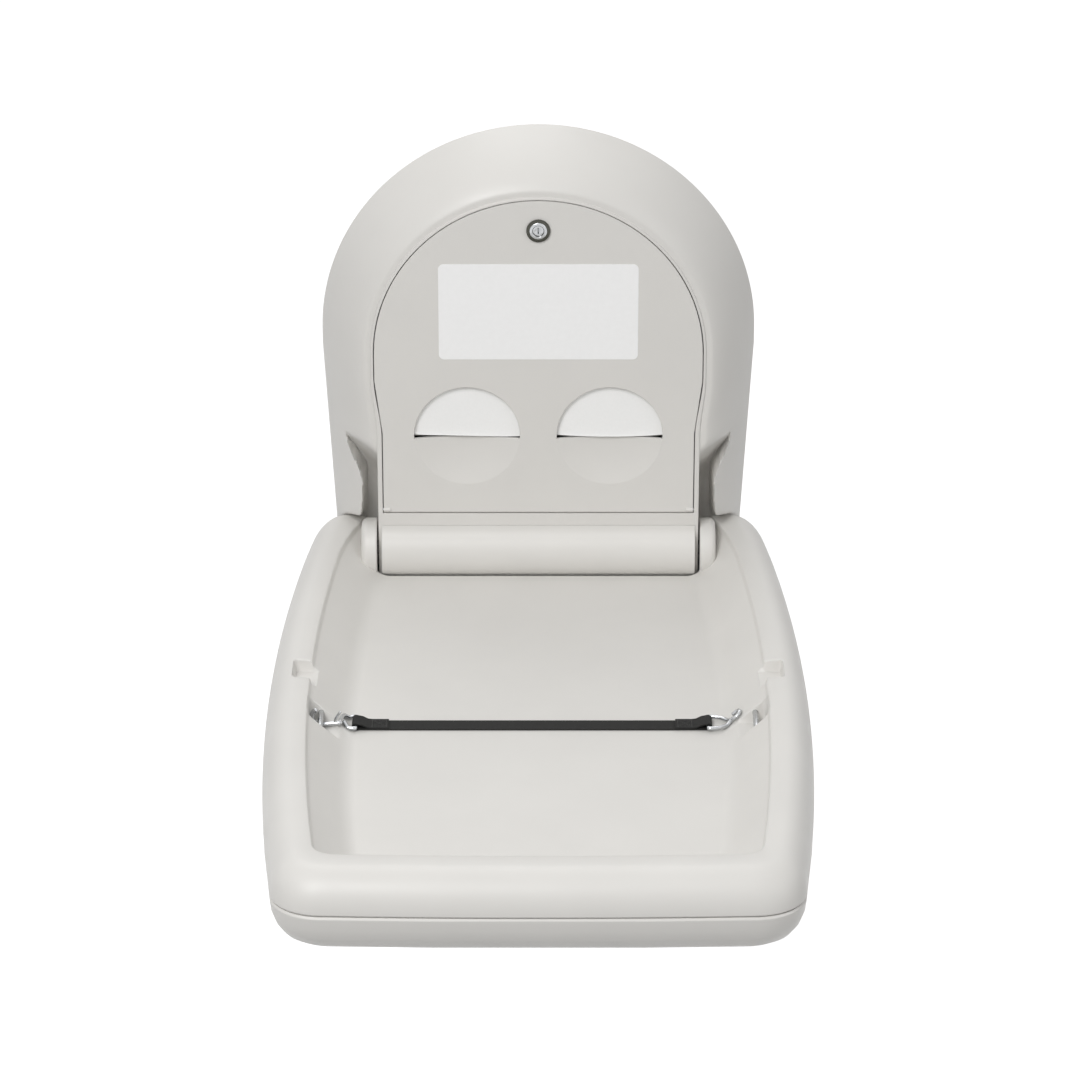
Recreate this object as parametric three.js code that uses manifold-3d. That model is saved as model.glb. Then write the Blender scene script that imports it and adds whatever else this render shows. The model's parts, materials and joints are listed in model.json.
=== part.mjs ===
// A wall-hung baby changing station, opened out, in millimetres.
// +X is the user's right, +Y points into the wall and +Z is up.
// The origin lies on the wall face, level with the bed's hinge.
import * as THREE from 'three';
import { mergeVertices } from 'three/addons/utils/BufferGeometryUtils.js';
import Module from 'manifold-3d';

// Driving dimensions.
// Heights and depths are measured from the hinge axis, with depth growing towards the wall.
const CLEAR = 0.3; // gap between pieces that touch
const HINGE_OUT = 60; // hinge axis in front of the wall
const FACE_AHEAD = 17; // door face in front of the hinge axis
const SHELL = 4; // wall of the mouldings

// Bed outline and section
const BED_REACH = 787; // hinge axis to the front edge
const BED_WIDTH = 565; // across the widest place
const BED_WIDEST = 388; // distance of the widest place from the hinge axis
const BED_TAPER = 27.9; // how far each side draws in over the taper run
const BED_TAPER_RUN = 400;
const BED_TAIL = 38; // how far the side rims reach behind the hinge axis
const FRONT_BOW = 6.5; // how far the front edge bows out in the middle
const FRONT_CORNER = 42;
const REAR_CORNER = 45;
const RIM_TOP = 22;
const RIM_SIDE = 44; // rim widths
const RIM_FRONT = 56;
const REAR_DRAW = 14; // how far the basin's sides draw in at the tail
const REAR_DRAW_FROM = 60; // where that begins
const RIM_CREST = 0.64; // share of the rim's width that lies outside its crest
const RIM_EDGE_DROP = 6; // the rim's inner edge below its crest
const WALL_RUN = 41; // plan width of the basin's sloping wall
const FLOOR_FILLET = 6;
const PARTING = -18; // joint between the two bed shells
const PARTING_EASE = 1.5; // eased edges beside that joint
const BASE_BOTTOM = -64;
const BASE_ROUND = 30; // plan width of the base's rounded edge
const NEST_GAP = 6; // folded bed's floor to the door face

// Hinge
const BARREL_RADIUS = 32;
const BARREL_GAP = 2.7; // running room around the barrel
const BARREL_SHORT = 4; // each end of the barrel inside the core's side
const COVER_WALL = 3;
const COVER_FILLET = 18; // hollow round between the barrel's top and the chassis face
const COVER_LIP = 0.5;
const EAR_GAP = 1.5;
const EAR_THICK = 17.5;
const EAR_RADIUS = 33;
const SHAFT_RADIUS = 8;
const BUSH_WALL = 2.5;
const BUSH_FLANGE = 2;
const BRACKET_THICK = 5;
const BRACKET_HUB = 20;
const BRACKET_FOOT = 80; // height of the bracket's foot on the wall plate
const BRACKET_INSET = 47; // bracket inside the core's side
const ARM_THICK = 6;
const ARM_HUB = 22;
const ARM_LENGTH = 300;
const ARM_DEPTH = 24;
const ARM_ROOT = 26; // width of the arm where it drops from its hub
const ARM_ROOM = 0.5; // room beside the arm in its ear
const RAIL_WIDTH = 30;
const RAIL_THICK = 5;

// Chassis
const ARCH_Z = 240; // height of the arch's centre
const DOOR_RADIUS = 178.6;
const DOOR_LOWER = 170.5; // half width of the door's lower part
const DOOR_STEP_HIGH = 208; // the door narrows between these heights
const DOOR_STEP_LOW = 146;
const DOOR_FOOT = 51;
const DOOR_SEAM = 1;
const DOOR_THICK = 4;
const DOOR_FLANGE = 7; // depth of the door's return edge
const FRAME_STRIP = 6.5; // chassis face beside the door's lower part
const FRAME_LIP = 4; // chassis face beside the door's arch
const COLLAR_WALL = 3;
const COLLAR_DEPTH = 13;
const BAND_RADIUS = 237.5; // arch at the wall
const BAND_TAPER = 0.0556; // narrowing of the sides at the wall, per mm of height
const BAND_TAPER_TOP = 222;
const BAND_BULGE = 0.5; // 0 is a flat band, 1 a quarter ellipse
const BAND_END_FACE = 123; // height of the band's lower end at the door face
const BAND_END_WALL = 69; // height of its lower end at the cheek
const CHEEK_THICK = 14;
const CHASSIS_BOTTOM = -107;
const CHEEK_CORNER = 35;
const COVER_WINDOW = 23; // half height of the window behind the hinge cover

// Wall plate
const PLATE_THICK = 3;
const PLATE_HALF = 206;
const PLATE_MARGIN = 9; // plate inside the shell's foot
const WALL_HOLE = 4.5;
const WALL_HOLE_X = 150;
const WALL_HOLE_HIGH = 340;
const WALL_HOLE_LOW = -62;

// Screws
const SCREW_RADIUS = 2.2;
const SCREW_HEAD = 5;
const SCREW_HEAD_HIGH = 2;
const SCREW_BITE = 14; // how far a screw goes into its boss
const BOSS_RADIUS = 7;
const SHELL_BOSS_X = 198;
const SHELL_BOSS_HIGH = 200;
const SHELL_BOSS_LOW = -70;

// Stops
const BUMPER_RADIUS = 9;
const BUMPER_GAP = 10; // bumper beside the chassis core
const BUMPER_Z = -36;

// Liner openings and liners
const OPENING_RADIUS = 58;
const OPENING_X = 78;
const OPENING_Z = 143; // height of the circle's centre
const OPENING_DROP = 3.5; // the opening's flat edge below that centre
const SCOOP_DEPTH = 8;
const LINER_MARGIN = 4; // liner beyond the opening on each side
const LINER_HIGH = 180;
const LINER_THICK = 20;
const TRAY_WALL = 2.5;
const TRAY_POST = 8;
const TRAY_POST_LOW = 180;
const TRAY_POST_HIGH = 290;

// Lock
const LOCK_Z = 385;
const LOCK_BEZEL = 13;
const LOCK_PROUD = 2;
const LOCK_BODY = 9.5;
const LOCK_PLUG = 6;
const LOCK_NUT = 13;
const LOCK_NUT_THICK = 4;
const CAM_LENGTH = 46;
const CAM_WIDTH = 14;
const CAM_THICK = 3;
const CAM_SCREW = 4.5;
const STRIKE_HALF = 18;
const STRIKE_THICK = 1.6;
const STRIKE_HIGH = 9;

// Door hinge
const PIN_RADIUS = 1.5;
const PIN_LENGTH = 12;
const PIN_WALL = 1.3;
const PIN_BEHIND = 1.9; // pin axis behind the door face
const PIN_ABOVE = 2.6; // pin axis above the door's foot

// Gas cylinder
const GAS_INSET = 30.5; // cylinder axis inside the core's side
const CRANK_RADIUS = 28;
const CRANK_THICK = 8;
const CRANK_HUB = 14;
const CRANK_PIN = 5;
const YOKE_PLAY = 1.2; // room above and below the crank pin
const YOKE_THICK = 6;
const YOKE_WALL = 5;
const ROD_RADIUS = 4;
const ROD_LENGTH = 175;
const TUBE_RADIUS = 10;
const TUBE_LOW = 75;
const TUBE_LENGTH = 160;
const TUBE_CAP = 8;
const STUD_RADIUS = 4;
const STUD_LENGTH = 12;
const HANGER_THICK = 4;
const HANGER_HALF = 14;
const HANGER_FOOT = 30;

// Strap, hooks and pockets
const STRAP_S = 381; // strap's distance from the hinge axis
const STRAP_WIDTH = 20;
const STRAP_THICK = 1.8;
const STRAP_START = 8; // floor left free beside the webbing's left end
const STRAP_SLACK = 21; // floor left free beyond its right end
const WIRE = 2; // radius of the hooks' wire
const HOOK_NECK = 16; // where the held hook's loop closes, beyond the strap's eye
const LOOSE_NECK = 24; // where the loose hook's loop closes
const BAR_RADIUS = 3;
const BAR_INSET = 57.5; // anchor bar inside the bed's side
const BAR_ABOVE = 20; // anchor bar above the floor
const HOOK_AHEAD = 16; // held hook's plane, in front of the strap's
const POCKET_AHEAD = 25; // pocket's middle, in front of the strap's
const POCKET_HALF = 18; // half length of a pocket along the bed
const POCKET_ROOM = 12; // free radius about the anchor bar
const POCKET_WALL = 5;
const NOTCH_FROM = 318; // bag notch in each side rim
const NOTCH_LENGTH = 36;
const NOTCH_WIDE = 17;
const NOTCH_DEEP = 13;

// Screws that close the bed: distance from the hinge axis
const BASE_SCREW_REAR = 170;
const BASE_SCREW_FRONT = 500;
const BASE_SCREW_NOSE_X = 120;

// Sizes that follow from the driving ones
const FLOOR_Z = -(FACE_AHEAD + NEST_GAP);
const CORE_HALF = DOOR_LOWER + FRAME_STRIP;
const EAR_INNER = CORE_HALF + EAR_GAP;
const EAR_OUTER = EAR_INNER + EAR_THICK;
const BARREL_HALF = CORE_HALF - BARREL_SHORT;
const NOTCH_RADIUS = BARREL_RADIUS + BARREL_GAP;
const FLOOR_REAR = Math.sqrt(NOTCH_RADIUS ** 2 - FLOOR_Z ** 2);
const CHEEK_FRONT = HINGE_OUT - CHEEK_THICK;
const PLATE_FRONT = HINGE_OUT - PLATE_THICK;
const FACE_Y = -FACE_AHEAD;
const DOOR_BACK = FACE_Y + DOOR_THICK;
const OPENING_EDGE = OPENING_Z - OPENING_DROP;
const WALL_DROP = RIM_TOP - RIM_EDGE_DROP - FLOOR_Z;
const SHELL_BITE = CHEEK_THICK - PLATE_THICK - SHELL - 1; // depth of a shell screw in its shallow boss
const FAR = 1000;
const TAIL_RUN = 60; // how far the tray is drawn past its tail before it is trimmed
const ARCH_SIDES = 22; // steps in each half of the door's arch

// Solid geometry
const wasm = await Module();
wasm.setup();

function solidOf(geometry) {
  const bare = geometry.clone();
  bare.deleteAttribute('normal');
  bare.deleteAttribute('uv');
  const merged = mergeVertices(bare, 1e-4);
  const position = merged.attributes.position;
  const corners = Array.from(merged.index.array);
  const a = new THREE.Vector3();
  const b = new THREE.Vector3();
  const c = new THREE.Vector3();
  const kept = [];
  let volume = 0;
  for (let i = 0; i < corners.length; i += 3) {
    const [p, q, r] = corners.slice(i, i + 3);
    if (p === q || q === r || r === p) continue;
    a.fromBufferAttribute(position, p);
    b.fromBufferAttribute(position, q);
    c.fromBufferAttribute(position, r);
    volume += a.dot(b.cross(c));
    kept.push([p, q, r]);
  }
  const faces = volume < 0 ? kept.map(([p, q, r]) => [p, r, q]) : kept;
  return new wasm.Manifold(new wasm.Mesh({
    numProp: 3,
    vertProperties: Float32Array.from(position.array),
    triVerts: Uint32Array.from(faces.flat()),
  }));
}

function geometryOf(solid) {
  const mesh = solid.getMesh();
  const geometry = new THREE.BufferGeometry();
  geometry.setAttribute('position', new THREE.BufferAttribute(mesh.vertProperties, 3));
  geometry.setIndex(new THREE.BufferAttribute(mesh.triVerts, 1));
  geometry.computeVertexNormals();
  return geometry;
}

const join = (...solids) => solids.reduce((sum, solid) => sum.add(solid));
const cut = (solid, ...tools) => tools.reduce((rest, tool) => rest.subtract(tool), solid);
const middle = ([low, high]) => (low + high) / 2;
const length = ([low, high]) => high - low;

// A block between low and high on each axis
function box(x, y, z) {
  const geometry = new THREE.BoxGeometry(length(x), length(y), length(z));
  geometry.translate(middle(x), middle(y), middle(z));
  return solidOf(geometry);
}

// A round bar along one axis; its centre gives the other two coordinates in X, Y, Z order
function drum(axis, radius, span, [first, second] = [0, 0], sides = 24) {
  const geometry = new THREE.CylinderGeometry(radius, radius, length(span), sides);
  if (axis === 'x') {
    geometry.rotateZ(-Math.PI / 2);
    geometry.translate(middle(span), first, second);
  } else if (axis === 'y') {
    geometry.translate(first, middle(span), second);
  } else {
    geometry.rotateX(Math.PI / 2);
    geometry.translate(first, second, middle(span));
  }
  return solidOf(geometry);
}

// An outline pushed along an axis; it is drawn in Y and Z, in X and Z or in X and Y
function prism(axis, outline, span, curveSegments = 14) {
  const geometry = new THREE.ExtrudeGeometry(outline, {
    depth: length(span),
    bevelEnabled: false,
    curveSegments,
  });
  const turn = new THREE.Matrix4();
  const [x, y, z] = [new THREE.Vector3(1, 0, 0), new THREE.Vector3(0, 1, 0), new THREE.Vector3(0, 0, 1)];
  if (axis === 'x') {
    geometry.applyMatrix4(turn.makeBasis(y, z, x));
    geometry.translate(span[0], 0, 0);
  } else if (axis === 'y') {
    geometry.applyMatrix4(turn.makeBasis(x, z, y.clone().negate()));
    geometry.translate(0, span[1], 0);
  } else {
    geometry.translate(0, 0, span[0]);
  }
  return solidOf(geometry);
}

// A solid of revolution about a line along Y, from [radius, depth] pairs
function turned(profile, [x, z], sides = 36) {
  const points = profile.map(([radius, depth]) => new THREE.Vector2(radius, depth));
  const geometry = new THREE.LatheGeometry(points, sides);
  geometry.translate(x, 0, z);
  return solidOf(geometry);
}

// Rings of equally many points, skinned and closed by a fan at each end
function loft(rings) {
  const count = rings[0].length;
  const points = rings.flat();
  const ends = [rings[0], rings[rings.length - 1]];
  for (const ring of ends) {
    const centre = new THREE.Vector3();
    ring.forEach((p) => centre.add(p));
    points.push(centre.divideScalar(count));
  }
  const index = [];
  const last = (rings.length - 1) * count;
  const [firstHub, lastHub] = [points.length - 2, points.length - 1];
  for (let i = 0; i < count; i += 1) {
    const next = (i + 1) % count;
    for (let start = 0; start < last; start += count) {
      index.push(start + i, start + next, start + count + next);
      index.push(start + i, start + count + next, start + count + i);
    }
    index.push(firstHub, next, i);
    index.push(lastHub, last + i, last + next);
  }
  const geometry = new THREE.BufferGeometry().setFromPoints(points);
  geometry.setIndex(index);
  return solidOf(geometry);
}

function polygon(points) {
  return new THREE.Shape(points.map(([u, v]) => new THREE.Vector2(u, v)));
}

// A round wire through a list of points
function wire(points, steps, sides = 6) {
  const path = new THREE.CatmullRomCurve3(points.map((p) => new THREE.Vector3(...p)), false, 'centripetal');
  const section = new THREE.Shape();
  for (let i = 0; i < sides; i += 1) {
    const angle = (2 * Math.PI * i) / sides;
    const at = [WIRE * Math.cos(angle), WIRE * Math.sin(angle)];
    if (i === 0) section.moveTo(...at);
    else section.lineTo(...at);
  }
  return solidOf(new THREE.ExtrudeGeometry(section, { steps, bevelEnabled: false, extrudePath: path }));
}

const blend = (low, high, share) => low + (high - low) * share;
const steps = (count) => Array.from({ length: count + 1 }, (_, i) => i / count);
const sides = [['left', -1], ['right', 1]];
// The span between two distances from the middle plane, on one side of it
const spanOn = (sign, near, far) => (sign > 0 ? [near, far] : [-far, -near]);

// Bed shells
// A place on the bed is given by its distance s from the hinge axis, which runs along -Y.
function bedHalfWidth(s) {
  const away = (s - BED_WIDEST) / BED_TAPER_RUN;
  return BED_WIDTH / 2 - BED_TAPER * away * away;
}

function frontEdge(x) {
  const share = x / (BED_WIDTH / 2);
  return BED_REACH - FRONT_BOW * share * share;
}

// How far the basin's sides are drawn in near the tail
function rearDraw(s) {
  const share = Math.max(0, (REAR_DRAW_FROM - s) / (REAR_DRAW_FROM + BED_TAIL));
  return REAR_DRAW * share * share;
}

// One closed ring of the bed's outline, drawn in by the given distances, at height z
function bedRing({ side, front, rear, draw = 0 }, z) {
  const frontCorner = Math.max(FRONT_CORNER - 0.45 * side, FRONT_CORNER / 2);
  const rearCorner = Math.max(REAR_CORNER - 0.25 * side, REAR_CORNER / 2);
  const rearS = rear - BED_TAIL;
  const half = (s) => bedHalfWidth(s) - side - draw * rearDraw(s);
  const noseS = BED_REACH - front;
  const sideStart = rearS + rearCorner;
  const sideEnd = noseS - frontCorner;
  const noseX = half(noseS) - frontCorner;
  const tailX = half(rearS) - rearCorner;
  const nose = (x) => frontEdge(x) - front;
  const curve = (from, fromHandle, toHandle, to, count) => {
    const corners = [from, fromHandle, toHandle, to].map((p) => new THREE.Vector2(...p));
    const spline = new THREE.CubicBezierCurve(...corners);
    return spline.getPoints(count).slice(1, -1).map((p) => [p.x, p.y]);
  };
  const pull = 0.45;
  const right = [
    [tailX, rearS],
    ...curve(
      [tailX, rearS],
      [blend(half(rearS), tailX, pull), rearS],
      [half(rearS), blend(rearS, sideStart, pull)],
      [half(sideStart), sideStart],
      5,
    ),
    ...steps(11).map((t) => blend(sideStart, sideEnd, t ** 1.4)).map((s) => [half(s), s]),
    ...curve(
      [half(sideEnd), sideEnd],
      [half(noseS), blend(noseS, sideEnd, pull)],
      [blend(half(noseS), noseX, pull), nose(half(noseS))],
      [noseX, nose(noseX)],
      10,
    ),
    ...[1, 0.5].map((share) => [noseX * share, nose(noseX * share)]),
  ];
  const left = right.map(([x, s]) => [-x, s]).reverse();
  return [...right, ...left].map(([x, s]) => new THREE.Vector3(x, -s, z));
}

// Insets of the tray's section: the front rim is wider than the sides, and the tail is open
function trayInsets(side) {
  const inRim = Math.min(side, RIM_SIDE) / RIM_SIDE;
  const past = Math.max(side - RIM_SIDE, 0);
  return { side, front: RIM_FRONT * inRim + past, rear: -TAIL_RUN, draw: inRim };
}

const trayRing = ([side, z]) => bedRing(trayInsets(side), z);

// The outer round of the rim, from the parting joint up to the crest, moved in by a wall
function rimRound(wall, share) {
  const angle = (share * Math.PI) / 2;
  const wide = RIM_SIDE * RIM_CREST - wall;
  const high = RIM_TOP - PARTING - wall;
  return [wall + wide * (1 - Math.cos(angle)), PARTING + high * Math.sin(angle)];
}

function traySection() {
  const edge = [RIM_SIDE, RIM_TOP - RIM_EDGE_DROP];
  const foot = [RIM_SIDE + WALL_RUN, FLOOR_Z];
  const slope = Math.hypot(WALL_RUN, WALL_DROP);
  const lean = [(-WALL_DROP / slope) * SHELL, (-WALL_RUN / slope) * SHELL];
  const under = ([side, z]) => [side + lean[0], z + lean[1]];
  const nearFoot = 1 - FLOOR_FILLET / WALL_RUN;
  const ramp = (t) => [blend(edge[0], foot[0], t), blend(edge[1], foot[1], t)];
  const crestIn = [blend(RIM_SIDE * RIM_CREST, RIM_SIDE, 0.55), RIM_TOP - 0.17 * RIM_EDGE_DROP];
  const below = [
    [foot[0] + FLOOR_FILLET / 2, FLOOR_Z - SHELL],
    [foot[0] - 2.5, FLOOR_Z - SHELL + 0.9],
    under(ramp(nearFoot)),
    under(edge),
    [crestIn[0], crestIn[1] - SHELL],
    ...[1, 0.66, 0.33].map((share) => rimRound(SHELL, share)),
    [SHELL, PARTING],
  ];
  const above = [
    [PARTING_EASE, PARTING],
    rimRound(0, 0.03),
    ...[0.2, 0.4, 0.6, 0.8, 1].map((share) => rimRound(0, share)),
    crestIn,
    [RIM_SIDE - 2, RIM_TOP - 0.6 * RIM_EDGE_DROP],
    ramp(0.03),
    ramp(nearFoot),
    [foot[0] - 0.2 * FLOOR_FILLET, FLOOR_Z + 0.18 * FLOOR_FILLET],
    [foot[0] + FLOOR_FILLET, FLOOR_Z],
  ];
  return { below, above };
}

// Everything under the tray's upper face, kept a little below it
function underTray() {
  const { above } = traySection();
  const sunk = above.map(([side, z]) => [side + Math.max(0, 1.5 - side / 20), z - 2]);
  const [firstSide] = sunk[0];
  return loft([[firstSide, -FAR], ...sunk].map(trayRing));
}

// The bed's outline as an upright block, drawn in by an inset and a little wide of the tray's sides
function bedBlock(inset) {
  const insets = { side: inset - 1, front: inset - 1, rear: inset };
  return loft([-FAR, FAR].map((z) => bedRing(insets, z)));
}

// The wall that closes the ends of the side rims
function tailWall() {
  const end = box([-FAR, FAR], [-BED_TAIL / 2, FAR], [PARTING, FAR]);
  return cut(bedBlock(0), bedBlock(SHELL)).intersect(underTray()).intersect(end);
}

// Room that the barrel and the chassis core need between the bed's ears
function barrelRoom() {
  const across = [-EAR_INNER, EAR_INNER];
  return join(
    drum('x', NOTCH_RADIUS, across, [0, 0], 40),
    box(across, [-FLOOR_REAR, FAR], [-FAR, FAR]),
  );
}

const barX = bedHalfWidth(STRAP_S) - BAR_INSET;
const barZ = FLOOR_Z + BAR_ABOVE;
const pocketS = STRAP_S + POCKET_AHEAD;
const pocketAlong = [-pocketS - POCKET_HALF, -pocketS + POCKET_HALF];
const barSpan = [pocketAlong[0] - POCKET_WALL / 2, pocketAlong[1] + POCKET_WALL / 2];
const armX = EAR_INNER + (EAR_THICK - ARM_THICK) / 2;
const armTop = FLOOR_Z - SHELL - CLEAR;

// Side view of a hinge arm, grown by some room
function armOutline(room) {
  const hub = new THREE.Shape();
  hub.absarc(0, 0, ARM_HUB + room, 0, 2 * Math.PI);
  const front = -ARM_LENGTH - room;
  const back = ARM_ROOT / 3 + room;
  const drop = polygon([
    [back, 0],
    [back, armTop - ARM_DEPTH - room],
    [front, armTop - ARM_DEPTH - room],
    [front, armTop + room],
    [back - ARM_ROOT - 2 * room, armTop + room],
    [back - ARM_ROOT - 2 * room, 0],
  ]);
  return [hub, drop];
}

function armSolid(span, room) {
  return join(...armOutline(room).map((outline) => prism('x', outline, span)));
}

const armRoom = (sign) => spanOn(sign, armX - ARM_ROOM, armX + ARM_THICK + ARM_ROOM);

// The round end of the bed beside the barrel, slotted for its hinge arm
function hingeEar(sign) {
  return cut(
    drum('x', EAR_RADIUS, spanOn(sign, EAR_INNER, EAR_OUTER), [0, 0], 36),
    drum('x', SHAFT_RADIUS + CLEAR, [-FAR, FAR]),
    armSolid(armRoom(sign), ARM_ROOM),
  );
}

// Screw bosses stand just inside the base's rounded edge
const bossInset = BASE_ROUND + BOSS_RADIUS + 1;
const screwNose = frontEdge(BASE_SCREW_NOSE_X) - bossInset;
const baseScrews = [
  ['rear_left', bossInset - bedHalfWidth(BASE_SCREW_REAR), BASE_SCREW_REAR],
  ['rear_right', bedHalfWidth(BASE_SCREW_REAR) - bossInset, BASE_SCREW_REAR],
  ['middle_left', bossInset - bedHalfWidth(BASE_SCREW_FRONT), BASE_SCREW_FRONT],
  ['middle_right', bedHalfWidth(BASE_SCREW_FRONT) - bossInset, BASE_SCREW_FRONT],
  ['front_left', -BASE_SCREW_NOSE_X, screwNose],
  ['front_right', BASE_SCREW_NOSE_X, screwNose],
];
const bossFoot = BASE_BOTTOM + SHELL + CLEAR;

function bedTray() {
  const { below, above } = traySection();
  const backing = join(
    ...baseScrews.map(([, x, s]) => drum('z', BOSS_RADIUS, [bossFoot, FAR], [x, -s], 14)),
    ...sides.map(([, sign]) => pocketBlock(sign)),
    ...sides.map(([, sign]) => notchBlock(sign)),
  );
  const skin = loft([...below, ...above].map(trayRing)).intersect(bedBlock(0));
  let tray = cut(join(skin, backing.intersect(underTray()), tailWall()), barrelRoom());
  for (const [, sign] of sides) {
    tray = cut(
      tray,
      drum('x', EAR_RADIUS + CLEAR, spanOn(sign, EAR_INNER - 1, EAR_OUTER + CLEAR), [0, 0], 36),
      armSolid(armRoom(sign), ARM_ROOM),
      pocketSpace(sign),
      drum('y', BAR_RADIUS + CLEAR, [barSpan[0] - CLEAR, barSpan[1] + CLEAR], [sign * barX, barZ], 20),
      notchSpace(sign),
    );
  }
  for (const [, x, s] of baseScrews) {
    tray = tray.subtract(drum('z', SCREW_RADIUS + CLEAR, [-FAR, bossFoot + SCREW_BITE + 2], [x, -s], 12));
  }
  return tray;
}

// Solid backing for a strap pocket, hidden behind the basin's wall
function pocketBlock(sign) {
  const along = [pocketAlong[0] - POCKET_WALL, pocketAlong[1] + POCKET_WALL];
  const low = barZ - POCKET_ROOM - POCKET_WALL;
  const far = barX + POCKET_ROOM + POCKET_WALL;
  return box(spanOn(sign, barX - 2 * POCKET_ROOM, far), along, [low, FAR]);
}

function pocketSpace(sign) {
  const x = spanOn(sign, barX - 2 * POCKET_ROOM, barX + POCKET_ROOM);
  return box(x, pocketAlong, [barZ - POCKET_ROOM, RIM_TOP - RIM_EDGE_DROP]);
}

const notchAlong = [-NOTCH_FROM - NOTCH_LENGTH, -NOTCH_FROM];
const notchInner = bedHalfWidth(NOTCH_FROM + NOTCH_LENGTH / 2) - RIM_SIDE;

// Solid backing for a bag notch, inside the rim
function notchBlock(sign) {
  const along = [notchAlong[0] - SHELL, notchAlong[1] + SHELL];
  const floor = RIM_TOP - NOTCH_DEEP;
  const outer = notchInner + NOTCH_WIDE + SHELL;
  return box(spanOn(sign, notchInner - SHELL, outer), along, [floor - SHELL, FAR]);
}

function notchSpace(sign) {
  return box(
    spanOn(sign, notchInner - 3 * SHELL, notchInner + NOTCH_WIDE),
    notchAlong,
    [RIM_TOP - NOTCH_DEEP, FAR],
  );
}

function baseRing([inset, z]) {
  return bedRing({ side: inset, front: inset, rear: 0.15 * inset }, z);
}

function baseSection() {
  const top = PARTING - CLEAR;
  const round = (wall, share) => {
    const angle = (share * Math.PI) / 2;
    const wide = BASE_ROUND - wall;
    const deep = top - BASE_BOTTOM - wall;
    return [wall + wide * (1 - Math.cos(angle)), top - deep * Math.sin(angle)];
  };
  return [
    [BASE_ROUND + 4, BASE_BOTTOM],
    ...[1, 0.8, 0.6, 0.4, 0.2, 0.03].map((share) => round(0, share)),
    [PARTING_EASE, top],
    [SHELL, top],
    ...[0.33, 0.66, 1].map((share) => round(SHELL, share)),
    [BASE_ROUND + 4, BASE_BOTTOM + SHELL],
  ];
}

function bedBase() {
  let base = loft(baseSection().map(baseRing));
  const closerTop = FLOOR_Z - SHELL - CLEAR;
  base = join(
    base,
    box([-EAR_INNER - 1, EAR_INNER + 1], [-FLOOR_REAR - SHELL, -FLOOR_REAR], [BASE_BOTTOM + 1, closerTop]),
    ...sides.map(([, sign]) => box(
      spanOn(sign, EAR_INNER, EAR_INNER + SHELL),
      [-FLOOR_REAR - SHELL, BED_TAIL - SHELL],
      [BASE_BOTTOM + 1, -EAR_RADIUS - CLEAR],
    )),
  );
  base = cut(base, barrelRoom());
  const seat = BASE_BOTTOM + SCREW_HEAD_HIGH + CLEAR;
  for (const [, x, s] of baseScrews) {
    base = cut(
      base,
      drum('z', SCREW_HEAD + CLEAR, [-FAR, seat], [x, -s], 16),
      drum('z', SCREW_RADIUS + CLEAR, [-FAR, BASE_BOTTOM + 2 * SHELL], [x, -s], 12),
    );
  }
  return base;
}

// A pan-head screw pointing along +Z, with the head's free face at the origin
function screwSolid(shank) {
  return join(
    drum('z', SCREW_HEAD, [0, SCREW_HEAD_HIGH], [0, 0], 16),
    drum('z', SCREW_RADIUS, [SCREW_HEAD_HIGH - 0.5, SCREW_HEAD_HIGH + shank], [0, 0], 12),
  );
}

function anchorBar(sign) {
  return drum('y', BAR_RADIUS, barSpan, [sign * barX, barZ], 20);
}

function crossRail() {
  const front = -ARM_LENGTH + 5;
  return box([-armX + CLEAR, armX - CLEAR], [front, front + RAIL_WIDTH], [armTop - RAIL_THICK, armTop]);
}

function hingeArm(sign) {
  const span = spanOn(sign, armX, armX + ARM_THICK);
  return cut(armSolid(span, 0), drum('x', SHAFT_RADIUS + CLEAR, [-FAR, FAR]));
}

function hingeShaft() {
  return drum('x', SHAFT_RADIUS, [-EAR_OUTER + 0.5, EAR_OUTER - 0.5]);
}

// Strap and hooks
const eyeRadius = WIRE + CLEAR + STRAP_THICK;
const eyeZ = FLOOR_Z + CLEAR + eyeRadius;
const floorEdge = bedHalfWidth(STRAP_S) - RIM_SIDE - WALL_RUN;
const eyeLeft = -floorEdge + STRAP_START;
const eyeRight = floorEdge - STRAP_SLACK;

function strapSolid() {
  const low = FLOOR_Z + CLEAR;
  const along = [-STRAP_S - STRAP_WIDTH / 2, -STRAP_S + STRAP_WIDTH / 2];
  return cut(
    join(
      box([eyeLeft, eyeRight], along, [low, low + STRAP_THICK]),
      drum('y', eyeRadius, along, [eyeLeft, eyeZ], 20),
      drum('y', eyeRadius, along, [eyeRight, eyeZ], 20),
    ),
    drum('y', WIRE + CLEAR, [-FAR, FAR], [eyeLeft, eyeZ], 16),
    drum('y', WIRE + CLEAR, [-FAR, FAR], [eyeRight, eyeZ], 16),
  );
}

// Height of the basin's side wall beside the strap, at a distance from the middle plane
function wallHeight(x) {
  const run = bedHalfWidth(STRAP_S) - RIM_SIDE - Math.abs(x);
  return RIM_TOP - RIM_EDGE_DROP - (run * WALL_DROP) / WALL_RUN;
}

// A place on a hook's wire that keeps clear of the wall below it
function overWall(x, aside) {
  return [x, -STRAP_S + aside, Math.max(wallHeight(x) + 2.25 * WIRE, eyeZ)];
}

// A wire loop about the strap's end, drawn in to a neck
function hookLoop(eyeX, neck) {
  const wide = STRAP_WIDTH / 2 + WIRE + 1;
  const out = Math.sign(eyeX) * (eyeRadius + WIRE + 1);
  const corner = (x, side) => [x, -STRAP_S + side * wide, eyeZ];
  const path = [neck, corner(eyeX + out, -1), corner(eyeX, -1), corner(eyeX, 1), corner(eyeX + out, 1), neck];
  const balls = path.slice(1).map(([x, y, z]) => {
    const ball = new THREE.SphereGeometry(WIRE, 6, 4);
    ball.translate(x, y, z);
    return solidOf(ball);
  });
  return join(...path.slice(1).map((end, i) => wire([path[i], end], 1)), ...balls);
}

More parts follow.
